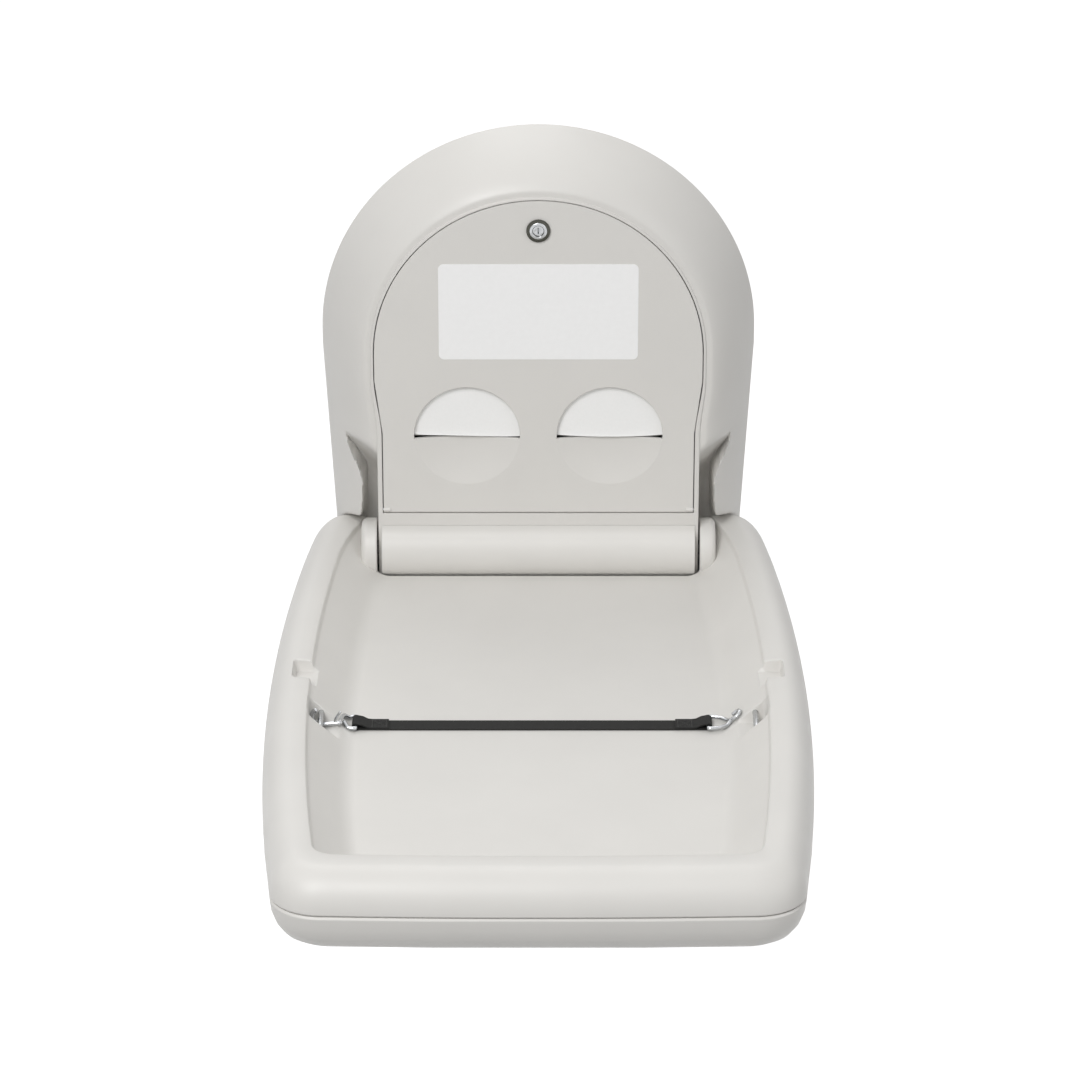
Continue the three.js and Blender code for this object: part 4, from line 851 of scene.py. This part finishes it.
def chassis_mesh():
    """The chassis as one skin, from the door's seam over the band and low cheeks to the wall."""
    mesh = bmesh.new()
    rows = [[mesh.verts.new(p) for p in row] for row in chassis_rows()]
    skin(mesh, rows)
    face = rows[0]
    seam_low = DOOR_FOOT - DOOR_SEAM
    count = len(face)
    first = next(i for i in range(count) if face[i].co.z > seam_low)
    last = count - 1 - first
    seam = []
    deep = []
    for vert in face[first:last + 1]:
        x, y, z = vert.co
        if z <= ARCH_Z:
            x = math.copysign(door_half(z) + DOOR_SEAM, x)
        else:
            out = Vector((x, z - ARCH_Z)).normalized() * (DOOR_RADIUS + DOOR_SEAM)
            x, z = out.x, ARCH_Z + out.y
        seam.append(mesh.verts.new((x, y, z)))
        deep.append(mesh.verts.new((x, y + COLLAR_DEPTH, z)))
    skin(mesh, [deep, seam, face[first:last + 1]])
    foot = door_half(seam_low) + DOOR_SEAM
    corners = [mesh.verts.new((x, FACE_Y, seam_low)) for x in (foot, -foot)]
    inner = [mesh.verts.new((x, FACE_Y + COLLAR_DEPTH, seam_low)) for x in (foot, -foot)]
    mesh.faces.new((corners[0], corners[1], inner[1], inner[0]))
    mesh.faces.new((corners[0], inner[0], deep[0], seam[0]))
    mesh.faces.new((corners[1], seam[-1], deep[-1], inner[1]))
    mesh.faces.new([*face[:first + 1], seam[0], corners[0], corners[1], seam[-1], *face[last:]])
    mesh.faces.new([row[0] for row in rows] + [row[-1] for row in reversed(rows)])
    face_towards(mesh, (0, -1, 0))
    return mesh


def turned(mesh, outline, centre, axis, sides=64):
    """A ring about an axis, from a closed outline of radius and distance along the axis."""
    along = Vector(axis)
    first = along.orthogonal().normalized()
    second = along.cross(first)
    spokes = [c * first + s * second for c, s in circle(sides)]
    rings = []
    for radius, run in outline:
        rings.append([mesh.verts.new(centre + along * run + spoke * radius) for spoke in spokes])
    for here, after in zip(rings, [*rings[1:], rings[0]]):
        join_rings(mesh, here, after)
    bmesh.ops.recalc_face_normals(mesh, faces=mesh.faces)


def quarter_round(corner, radius, run, steps=8):
    """Points of a rounded corner between a drum's side and its end, from the side inwards."""
    out = []
    for i in range(steps + 1):
        angle = math.pi / 2 * i / steps
        out.append((radius - corner * (1 - math.cos(angle)), run - corner * (1 - math.sin(angle))))
    return out


def ear_mesh(node):
    """A hinge ear as a hollow drum with a well rounded outer edge."""
    low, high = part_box(node)
    sign = math.copysign(1.0, low.x)
    near, far = sorted((abs(low.x), abs(high.x)))
    radius = (high.z - low.z) / 2
    bore = 8.4 * MM
    wall = 2.5 * MM
    edge = sizes().ear_edge
    chamfer = 1 * MM
    outer = [(bore, near), (radius - chamfer, near), (radius, near + chamfer)]
    outer += quarter_round(edge, radius, far) + [(bore, far)]
    inner = [(bore, far - wall), (radius - edge, far - wall), (radius - wall, far - edge)]
    inner += [(radius - wall, near + wall), (bore, near + wall)]
    mesh = bmesh.new()
    turned(mesh, outer + inner, Vector((0, HINGE_Y, 0)), (sign, 0, 0))
    smooth_by_angle(mesh, 40)
    return mesh


class STATION_OT_shells(bpy.types.Operator):
    """Makes the moulded shells of the chassis, door and bed"""

    bl_idname = "station.shells"
    bl_label = "Moulded shells"

    def execute(self, context):
        moulding = finish_for("moulded_shell")
        tray = thickened(tray_mesh(), SHELL)
        smooth_by_angle(tray, 40)
        place("bed_tray_skin", tray, "bed", moulding, ["bed_tray"])
        chassis = chassis_mesh()
        smooth_by_angle(chassis, 34)
        nodes = ["chassis_shell", "side_cheek_left", "side_cheek_right"]
        place("chassis_skin", chassis, "chassis", moulding, nodes)
        dressed("door_panel", angle=10)
        for node in ("hinge_cover", "bed_base", "liner_tray"):
            dressed(node, angle=22)
        for side in ("left", "right"):
            node = f"hinge_ear_{side}"
            place(f"hinge_ear_shell_{side}", ear_mesh(node), "bed", moulding, [node])
        return {"FINISHED"}


class STATION_OT_steelwork(bpy.types.Operator):
    """Makes the wall plate, hinge parts and stops"""

    bl_idname = "station.steelwork"
    bl_label = "Steelwork and stops"

    def execute(self, context):
        plain = ["wall_plate", "strike_plate", "cross_rail", "hinge_shaft", "crank_arm"]
        pairs = ["hinge_bracket", "hinge_bush", "hinge_arm", "bumper", "door_pin", "anchor_bar"]
        for node in plain + [f"{name}_{side}" for name in pairs for side in ("left", "right")]:
            dressed(node, sizes().edge)
        return {"FINISHED"}


class STATION_OT_gas_cylinder(bpy.types.Operator):
    """Makes the gas cylinder that slows the bed"""

    bl_idname = "station.gas_cylinder"
    bl_label = "Gas cylinder"

    def execute(self, context):
        for node in ("gas_bracket", "gas_tube", "gas_nut", "gas_rod", "rod_yoke"):
            dressed(node, sizes().edge)
        return {"FINISHED"}


class STATION_OT_lock(bpy.types.Operator):
    """Makes the cam lock of the dispenser door"""

    bl_idname = "station.lock"
    bl_label = "Door lock"

    def execute(self, context):
        # The lock body's dark metal colour is painted shade round the bright plug.
        dressed("lock_body", sizes().edge, finish=painted_shade_steel("painted_shade_steel"))
        low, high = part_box("lock_body")
        plug_low, plug_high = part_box("lock_plug")
        bore = (plug_high.x - plug_low.x) / 2 + 0.4 * MM
        rim = 0.72 * (high.x - low.x) / 2
        domed = [
            (bore, 0.02 * MM), (bore, 0.35 * MM), (bore + 0.3 * MM, 0.6 * MM),
            (rim - 0.9 * MM, 0.5 * MM), (rim - 0.2 * MM, 0.3 * MM), (rim, 0.02 * MM),
        ]
        mesh = bmesh.new()
        middle = middle_of("lock_body")
        turned(mesh, domed, Vector((middle.x, low.y, middle.z)), (0, -1, 0))
        smooth_by_angle(mesh, 40)
        place("lock_face", mesh, "door", finish_for("bright_steel"))
        for node in ("lock_nut", "lock_plug", "lock_cam", "cam_screw"):
            dressed(node, sizes().edge)
        return {"FINISHED"}


def fold_shape(wide, high, thick):
    """One folded liner: a flat packet with a round fold at its foot, standing on the origin."""
    mesh = bmesh.new()
    half = thick / 2
    steps = 8
    outline = [(-half, high), *[
        (-half * math.cos(math.pi * i / steps), half - half * math.sin(math.pi * i / steps))
        for i in range(steps + 1)
    ], (half, high)]
    ends = [[mesh.verts.new((x, y, z)) for y, z in outline] for x in (-wide / 2, wide / 2)]
    join_rings(mesh, *ends)
    mesh.faces.new(ends[0][::-1])
    mesh.faces.new(ends[1])
    outward(mesh)
    smooth_by_angle(mesh, 40)
    return bpy.data.objects.new("fold_shape", mesh_data("fold_shape", mesh))


def front_sheet(low, high, lift, curl):
    """The sheet that shows in an opening, with an uneven lower edge that curls forward a little."""
    mesh = bmesh.new()
    across = 40
    rises = [0.0, 0.8, 1.6, 2.6, 4, 6, 9, 14, 30, 90, (high.z - low.z) / MM - 4]
    rows = []
    for rise in rises:
        row = []
        for i in range(across + 1):
            share = i / across
            ends = smooth_step(min(share, 1 - share) / 0.2)
            forward = curl * ends * math.exp(-rise / 2.4)
            z = low.z + lift(share) + rise * MM
            row.append(mesh.verts.new((low.x + (high.x - low.x) * share, low.y + 0.3 * MM - forward, z)))
        rows.append(row)
    skin(mesh, rows)
    face_towards(mesh, (0, -1, 0))
    thickened(mesh, 0.25 * MM)
    smooth_by_angle(mesh, 50)
    return mesh


class STATION_OT_liners(bpy.types.Operator):
    """Makes the paper liners and the sheet that shows in each opening"""

    bl_idname = "station.liners"
    bl_label = "Paper liners"

    def execute(self, context):
        paper = finish_for("paper")
        hang = sizes().liner_hang
        edges = {
            "left": lambda share: hang * (1 - 0.85 * smooth_step(share)),
            "right": lambda share: hang * (1 - 0.85 * math.sin(math.pi * share)),
        }
        tree = copies_tree("folds")
        for side, lift in edges.items():
            node = f"liner_stack_{side}"
            low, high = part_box(node)
            place(f"liner_front_{side}", front_sheet(low, high, lift, 1.2 * MM), "chassis", paper)
            packet = sizes().liner_packet
            count = int((high.y - low.y - 1 * MM) / packet)
            points = bmesh.new()
            layer = points.verts.layers.float_vector.new("facing")
            for i in range(count):
                uneven = 0.5 * MM * (1 + math.sin(2.4 * i))
                along = low.y + 1 * MM + packet * (i + 0.5)
                vert = points.verts.new(((low.x + high.x) / 2, along, low.z + 0.6 * hang + uneven))
                vert[layer] = (0, 0, 1)
            shape = fold_shape(high.x - low.x - 1 * MM, high.z - low.z - hang - 2 * MM, packet - 0.15 * MM)
            values = {"Shape": shape, "Finish": paper}
            grown(f"liner_folds_{side}", points, tree, values, "chassis", [node])
            bpy.data.objects.remove(shape)
        return {"FINISHED"}


def new_tree(name, inputs):
    """Geometry nodes with the given inputs and a mesh output, returned with the node of those inputs."""
    tree = bpy.data.node_groups.new(name, "GeometryNodeTree")
    for socket, kind in inputs.items():
        tree.interface.new_socket(socket, in_out="INPUT", socket_type=f"NodeSocket{kind}")
    tree.interface.new_socket("Mesh", in_out="OUTPUT", socket_type="NodeSocketGeometry")
    return tree, add(tree, "NodeGroupInput")


def end_tree(tree, copies, finish):
    """Makes copies into plain faces with a finish, as the tree's result."""
    real = add(tree, "GeometryNodeRealizeInstances", {}, {"Geometry": copies.outputs["Instances"]})
    painted = add(tree, "GeometryNodeSetMaterial", {}, {
        "Geometry": real.outputs["Geometry"], "Material": finish,
    })
    add(tree, "NodeGroupOutput", {}, {"Mesh": painted.outputs["Geometry"]})
    return tree


def copies_tree(name):
    """Geometry nodes that stand a copy of one shape on each point, turned to the point's facing."""
    tree, start = new_tree(name, {"Places": "Geometry", "Shape": "Object", "Finish": "Material"})
    shape = add(tree, "GeometryNodeObjectInfo", {}, {"Object": start.outputs["Shape"]})
    facing = add(tree, "GeometryNodeInputNamedAttribute", {"data_type": "FLOAT_VECTOR"}, {"Name": "facing"})
    turn = add(tree, "FunctionNodeAlignRotationToVector", {"axis": "Z"}, {"Vector": facing.outputs[0]})
    copies = add(tree, "GeometryNodeInstanceOnPoints", {}, {
        "Points": start.outputs["Places"], "Instance": shape.outputs["Geometry"],
        "Rotation": turn.outputs["Rotation"],
    })
    return end_tree(tree, copies, start.outputs["Finish"])


def grown(name, mesh, tree, values, body, stands_for=()):
    """Runs geometry nodes on a mesh and keeps the result as a plain piece."""
    source = in_scene(name + "_seed", mesh_data(name + "_seed", mesh))
    modifier = source.modifiers.new("grow", "NODES")
    modifier.node_group = tree
    inputs = [item for item in tree.interface.items_tree if item.in_out == "INPUT"]
    sockets = {item.name: item.identifier for item in inputs}
    for key, value in values.items():
        modifier[sockets[key]] = value
    bpy.context.view_layer.update()
    graph = bpy.context.evaluated_depsgraph_get()
    data = bpy.data.meshes.new_from_object(source.evaluated_get(graph))
    bpy.data.objects.remove(source)
    settle(name, data, body, stands_for)


def screw_shape(head, head_high, shank, reach):
    """A pan-head screw along +Z, with its head's crown at the origin and a cross recess."""
    mesh = bmesh.new()
    sides = 24
    profile = [
        (0.45 * head, 0.0), (0.72 * head, 0.08 * head_high), (0.92 * head, 0.3 * head_high),
        (head, 0.62 * head_high), (head, head_high), (shank, head_high), (shank, reach - shank),
        (0.3 * shank, reach),
    ]
    rings = [[mesh.verts.new((r * c, r * s, z)) for c, s in circle(sides)] for r, z in profile]
    for first, second in zip(rings, rings[1:]):
        join_rings(mesh, first, second)
    mesh.faces.new(rings[-1])
    arm, wide, deep = 0.42 * head, 0.13 * head, 0.55 * head_high
    cross = [(arm, wide), (wide, wide), (wide, arm), (-wide, arm), (-wide, wide), (-arm, wide),
             (-arm, -wide), (-wide, -wide), (-wide, -arm), (wide, -arm), (wide, -wide), (arm, -wide)]
    lip = [mesh.verts.new((x, y, 0.0)) for x, y in cross]
    pit = [mesh.verts.new((0.75 * x, 0.75 * y, deep)) for x, y in cross]
    join_rings(mesh, lip, pit)
    mesh.faces.new(pit)
    open_edges = [e for e in mesh.edges if e.is_boundary]
    bmesh.ops.triangle_fill(mesh, use_beauty=True, use_dissolve=False, edges=open_edges)
    outward(mesh)
    smooth_by_angle(mesh, 35)
    return bpy.data.objects.new("screw_shape", mesh_data("screw_shape", mesh))


class STATION_OT_screws(bpy.types.Operator):
    """Makes the cross-head screws of the bed, shell and liner shelf"""

    bl_idname = "station.screws"
    bl_label = "Screws"

    def execute(self, context):
        tree = copies_tree("fasteners")
        steel = finish_for("bright_steel")
        groups = (
            ("base_screws", "base_screw_", "bed", (0, 0, 1)),
            ("shell_screws", "shell_screw_", "chassis", (0, -1, 0)),
            ("shelf_screws", "tray_screw_", "chassis", (0, 1, 0)),
        )
        for name, prefix, body, facing in groups:
            nodes = [node for node in BODIES[body] if node.startswith(prefix)]
            along = Vector(facing)
            points = bmesh.new()
            layer = points.verts.layers.float_vector.new("facing")
            for node in nodes:
                low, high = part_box(node)
                reach = abs((high - low).dot(along))
                vert = points.verts.new((low + high) / 2 - along * reach / 2)
                vert[layer] = along
            shape = screw_shape(SCREW_HEAD, SCREW_HEAD_HIGH, SCREW_SHANK, reach)
            grown(name, points, tree, {"Shape": shape, "Finish": steel}, body, nodes)
            bpy.data.objects.remove(shape)
        return {"FINISHED"}


def strap_path():
    """The webbing's middle line in X and Z: folded over, round each eye and along the floor."""
    thick = sizes().strap_thick
    turn = EYE_RADIUS - thick / 2
    low = EYE_Z - turn
    fold = sizes().strap_fold
    steps = 12
    left = [
        (EYE_LEFT + turn * math.cos(a), EYE_Z + turn * math.sin(a))
        for a in [math.pi / 2 + math.pi * i / steps for i in range(steps + 1)]
    ]
    right = [(EYE_RIGHT - (x - EYE_LEFT), z) for x, z in reversed(left)]
    top = low + thick * 1.02
    lead = [(EYE_LEFT + fold, top), (EYE_LEFT + fold * 0.5, top), (EYE_LEFT + fold * 0.36, top + 0.6 * MM),
            (EYE_LEFT + fold * 0.2, EYE_Z + turn * 0.55)]
    tail = [(EYE_RIGHT - (x - EYE_LEFT), z) for x, z in reversed(lead)]
    spans = 90
    flat = [(EYE_LEFT + (EYE_RIGHT - EYE_LEFT) * i / spans, low) for i in range(1, spans)]
    return lead + left + flat + right + tail


def strap_mesh():
    """The webbing with its thickness, rounded selvedges and a weave map."""
    path = [Vector((x, STRAP_Y, z)) for x, z in strap_path()]
    thick = sizes().strap_thick
    mesh = bmesh.new()
    layer = mesh.loops.layers.uv.new("weave")
    flat = STRAP_HALF - 0.4 * MM
    section = [(-STRAP_HALF, 0), (-flat, 0.5), (0, 0.5), (flat, 0.5),
               (STRAP_HALF, 0), (flat, -0.5), (0, -0.5), (-flat, -0.5)]
    runs = [0.0]
    for before, point in zip(path, path[1:]):
        runs.append(runs[-1] + (point - before).length)
    rings = []
    for point, along in zip(path, directions(path)):
        up = Vector((0, 1, 0)).cross(along).normalized()
        rings.append([mesh.verts.new(point + Vector((0, y, 0)) + up * (h * thick)) for y, h in section])
    count = len(section)
    for i in range(len(rings) - 1):
        for k in range(count):
            n = (k + 1) % count
            face = mesh.faces.new((rings[i][k], rings[i][n], rings[i + 1][n], rings[i + 1][k]))
            spots = ((runs[i], k), (runs[i], n), (runs[i + 1], n), (runs[i + 1], k))
            for loop, (u, v) in zip(face.loops, spots):
                loop[layer].uv = (u, section[v][0])
    mesh.faces.new(rings[0][::-1])
    mesh.faces.new(rings[-1])
    bmesh.ops.recalc_face_normals(mesh, faces=mesh.faces)
    smooth_by_angle(mesh, 50)
    return mesh


def stitch_tree():
    """Geometry nodes that lay a row of short thread loops along each edge chain."""
    inputs = {"Lines": "Geometry", "Pitch": "Float", "Thread": "Float", "Finish": "Material"}
    tree, start = new_tree("stitches", inputs)
    line = add(tree, "GeometryNodeMeshToCurve", {}, {"Mesh": start.outputs["Lines"]})
    points = add(tree, "GeometryNodeCurveToPoints", {"mode": "LENGTH"}, {
        "Curve": line.outputs["Curve"], "Length": start.outputs["Pitch"],
    })
    bead = add(tree, "GeometryNodeMeshUVSphere", {}, {"Segments": 8, "Rings": 6, "Radius": 1.0})
    smooth = add(tree, "GeometryNodeSetShadeSmooth", {}, {"Geometry": bead.outputs["Mesh"]})
    long = add(tree, "ShaderNodeMath", {"operation": "MULTIPLY"}, {0: start.outputs["Pitch"], 1: 0.42})
    size = add(tree, "ShaderNodeCombineXYZ", {}, {
        "X": start.outputs["Thread"], "Y": start.outputs["Thread"], "Z": long.outputs["Value"],
    })
    copies = add(tree, "GeometryNodeInstanceOnPoints", {}, {
        "Points": points.outputs["Points"], "Instance": smooth.outputs["Geometry"],
        "Rotation": points.outputs["Rotation"], "Scale": size.outputs["Vector"],
    })
    return end_tree(tree, copies, start.outputs["Finish"])


def sewing_thread(name):
    """Bonded polyester thread: dark, with a slight shine."""
    material, tree, shader = new_material(name, Roughness=0.55, IOR=1.57)
    tint(tree, shader, object_noise(tree, 0.5 * MM), look().thread, 0.8, 1.2)
    return material


class STATION_OT_strap(bpy.types.Operator):
    """Makes the safety strap and its sewn ends"""

    bl_idname = "station.strap"
    bl_label = "Safety strap"

    def execute(self, context):
        place("strap_webbing", strap_mesh(), "strap", finish_for("webbing"), ["strap"])
        thick = sizes().strap_thick
        top = EYE_Z - EYE_RADIUS + thick * 2.05
        half = STRAP_HALF - 3.5 * MM
        fold = sizes().strap_fold
        lines = bmesh.new()
        for eye, sign in ((EYE_LEFT, 1), (EYE_RIGHT, -1)):
            near = eye + sign * fold * 0.5
            far = eye + sign * (fold - 2.5 * MM)
            corners = [(near, -half), (far, -half), (far, half), (near, half)]
            spots = [(x, STRAP_Y + y, top) for x, y in corners]
            for ends in ((0, 1), (1, 2), (2, 3), (3, 0), (0, 2), (1, 3)):
                lines.edges.new([lines.verts.new(spots[k]) for k in ends])
        values = {"Pitch": sizes().stitch, "Thread": THREAD, "Finish": sewing_thread("sewing_thread")}
        grown("strap_stitches", lines, stitch_tree(), values, "strap")
        return {"FINISHED"}


def wall_height(x):
    """Height of the basin's sloping side beside the strap."""
    edge_x = bed_half_width(HINGE_Y - STRAP_Y) - RIM_SIDE
    return RIM_EDGE - (edge_x - abs(x)) * WALL_SLOPE


def over_wall(x, aside):
    """A place where a wire lies on the basin's side or floor, beside the strap's middle line."""
    return Vector((x, STRAP_Y + aside, max(wall_height(x) + 2.1 * WIRE, EYE_Z)))


def loop_path(eye, neck):
    """The bent wire that holds the webbing: straight through its eye, with bowed arms to the neck."""
    wide = STRAP_HALF + WIRE + 1 * MM
    run = neck.x - eye
    arms = [
        curve_points([
            Vector((eye + 0.16 * run, STRAP_Y + side * wide, EYE_Z)),
            over_wall(eye + 0.5 * run, side * 0.86 * wide),
            over_wall(eye + 0.82 * run, side * 0.42 * wide),
            neck,
        ])
        for side in (-1, 1)
    ]
    ends = [Vector((eye, STRAP_Y + side * wide, EYE_Z)) for side in (-1, 1)]
    bar = rounded_path([arms[0][0], *ends, arms[1][0]], 2.6 * MM)
    return [*reversed(arms[0]), *bar[1:-1], *arms[1]]


def rounded_path(points, radius, steps=6):
    """A chain of straight runs with rounded corners."""
    out = [points[0]]
    for before, corner, after in zip(points, points[1:], points[2:]):
        into = (before - corner).normalized()
        away = (after - corner).normalized()
        start = corner + into * radius
        end = corner + away * radius
        for i in range(steps + 1):
            t = i / steps
            out.append(start * (1 - t) ** 2 + corner * 2 * t * (1 - t) + end * t * t)
    out.append(points[-1])
    return out


class STATION_OT_hooks(bpy.types.Operator):
    """Makes the wire hooks at the strap's ends"""

    bl_idname = "station.hooks"
    bl_label = "Strap hooks"

    def execute(self, context):
        neck = over_wall(NECK_LEFT, HOOK_Y - STRAP_Y)
        bends = ((10, -8.6), (1, -9.3), (-5.7, -7.3), (-9.1, -1), (-8, 4.6), (-4.7, 8))
        around = [Vector((BAR_LEFT.x + x * MM, HOOK_Y, BAR_LEFT.z + z * MM)) for x, z in bends]
        gate = [neck + Vector((x * MM, 0, z * MM)) for x, z in ((-5, 0), (-4.5, 4), (-2, 9), (1, 13))]
        mesh = bmesh.new()
        tube(mesh, loop_path(EYE_LEFT, neck), WIRE)
        tube(mesh, curve_points([neck, *around]), 1.15 * WIRE)
        tube(mesh, curve_points(gate), 0.6 * WIRE)
        self.bend("strap_wire_hook_left", mesh, "strap", "strap_hook_left")
        bends = ((0, 0), (5, -2), (8.5, 2), (7.5, 7), (2, 8.5))
        curl = [over_wall(NECK_RIGHT + x * MM, y * MM) for x, y in bends]
        mesh = bmesh.new()
        tube(mesh, loop_path(EYE_RIGHT, curl[0]), WIRE)
        tube(mesh, curve_points(curl), WIRE)
        self.bend("strap_wire_hook_right", mesh, "hook", "strap_hook_right")
        return {"FINISHED"}

    def bend(self, name, mesh, body, node):
        outward(mesh)
        smooth_by_angle(mesh, 60)
        place(name, mesh, body, finish_for("bright_steel"), [node])


def rounded_plate(half, low, high, corner, front, back, segments=10):
    """A flat plate with round corners, upright in X and Z."""
    outline = []
    for x, z, start in ((half - corner, high - corner, 0), (corner - half, high - corner, 90),
                        (corner - half, low + corner, 180), (half - corner, low + corner, 270)):
        for i in range(segments + 1):
            angle = math.radians(start + 90 * i / segments)
            outline.append((x + corner * math.cos(angle), z + corner * math.sin(angle)))
    mesh = bmesh.new()
    front_ring = [mesh.verts.new((x, front, z)) for x, z in outline]
    back_ring = [mesh.verts.new((x, back, z)) for x, z in outline]
    join_rings(mesh, front_ring, back_ring)
    mesh.faces.new(front_ring)
    mesh.faces.new(back_ring[::-1])
    outward(mesh)
    return mesh


class STATION_OT_label(bpy.types.Operator):
    """Makes the blank label plate on the door"""

    bl_idname = "station.label"
    bl_label = "Label plate"

    def execute(self, context):
        plate = rounded_plate(
            sizes().label_half, sizes().label_low, sizes().label_high, sizes().label_corner,
            FACE_Y - 0.35 * MM, FACE_Y - 0.02 * MM,
        )
        smooth_by_angle(plate, 40)
        place("door_label", plate, "door", label_vinyl("label_vinyl"))
        return {"FINISHED"}


class STATION_OT_stage(bpy.types.Operator):
    """Makes the floor, lights, world and camera"""

    bl_idname = "station.stage"
    bl_label = "Studio stage"

    def execute(self, context):
        scene = context.scene
        scene.view_settings.view_transform = "Standard"
        self.floor()
        self.world(scene)
        for name, place_at, aim, size, power in LAMPS:
            light = bpy.data.lights.new(name, "AREA")
            light.size = size
            light.energy = power
            self.stand(name, light, place_at, aim)
        camera = bpy.data.cameras.new("photo_camera")
        camera.lens = CAMERA_LENS
        camera.sensor_width = 36
        camera.clip_end = 100
        scene.camera = self.stand("photo_camera", camera, CAMERA_AT, CAMERA_AIM)
        return {"FINISHED"}

    def floor(self):
        mesh = bmesh.new()
        bmesh.ops.create_grid(mesh, x_segments=8, y_segments=8, size=FLOOR_REACH)
        bmesh.ops.translate(mesh, verts=mesh.verts, vec=(0, 0, FLOOR_LEVEL))
        data = mesh_data("studio_floor", mesh)
        data.materials.append(studio_floor("painted_floor", look().floor))
        in_scene("studio_floor", data)

    def world(self, scene):
        scene.world = bpy.data.worlds.new("studio")
        scene.world.use_nodes = True
        tree = scene.world.node_tree
        back = tree.nodes["Background"]
        back.inputs["Color"].default_value = (1, 1, 1, 1)
        tree.links.new(spread(tree, looked_at(tree), AMBIENT, 1.0), back.inputs["Strength"])

    def stand(self, name, data, place_at, aim):
        """An object that looks from one place at another."""
        thing = in_scene(name, data)
        thing.location = place_at
        thing.rotation_euler = (Vector(aim) - Vector(place_at)).to_track_quat("-Z", "Y").to_euler()
        return thing


class STATION_PT_panel(bpy.types.Panel):
    """Lists the station's pieces"""

    bl_idname = "STATION_PT_panel"
    bl_label = "Changing station"
    bl_space_type = "VIEW_3D"
    bl_region_type = "UI"
    bl_category = "Changing station"

    def draw(self, context):
        for operator in OPERATORS:
            self.layout.operator(operator.bl_idname)


OPERATORS = (
    STATION_OT_shells, STATION_OT_steelwork, STATION_OT_gas_cylinder, STATION_OT_lock, STATION_OT_liners,
    STATION_OT_screws, STATION_OT_strap, STATION_OT_hooks, STATION_OT_label, STATION_OT_stage,
)
CLASSES = (StationLook, StationSizes, *OPERATORS, STATION_PT_panel)


def register():
    for cls in CLASSES:
        bpy.utils.register_class(cls)
    bpy.types.Scene.station_look = PointerProperty(type=StationLook)
    bpy.types.Scene.station_sizes = PointerProperty(type=StationSizes)


def unregister():
    del bpy.types.Scene.station_sizes
    del bpy.types.Scene.station_look
    for cls in reversed(CLASSES):
        bpy.utils.unregister_class(cls)


def main():
    register()
    for operator in OPERATORS:
        group, name = operator.bl_idname.split(".")
        getattr(getattr(bpy.ops, group), name)()


if __name__ == "__main__":
    main()
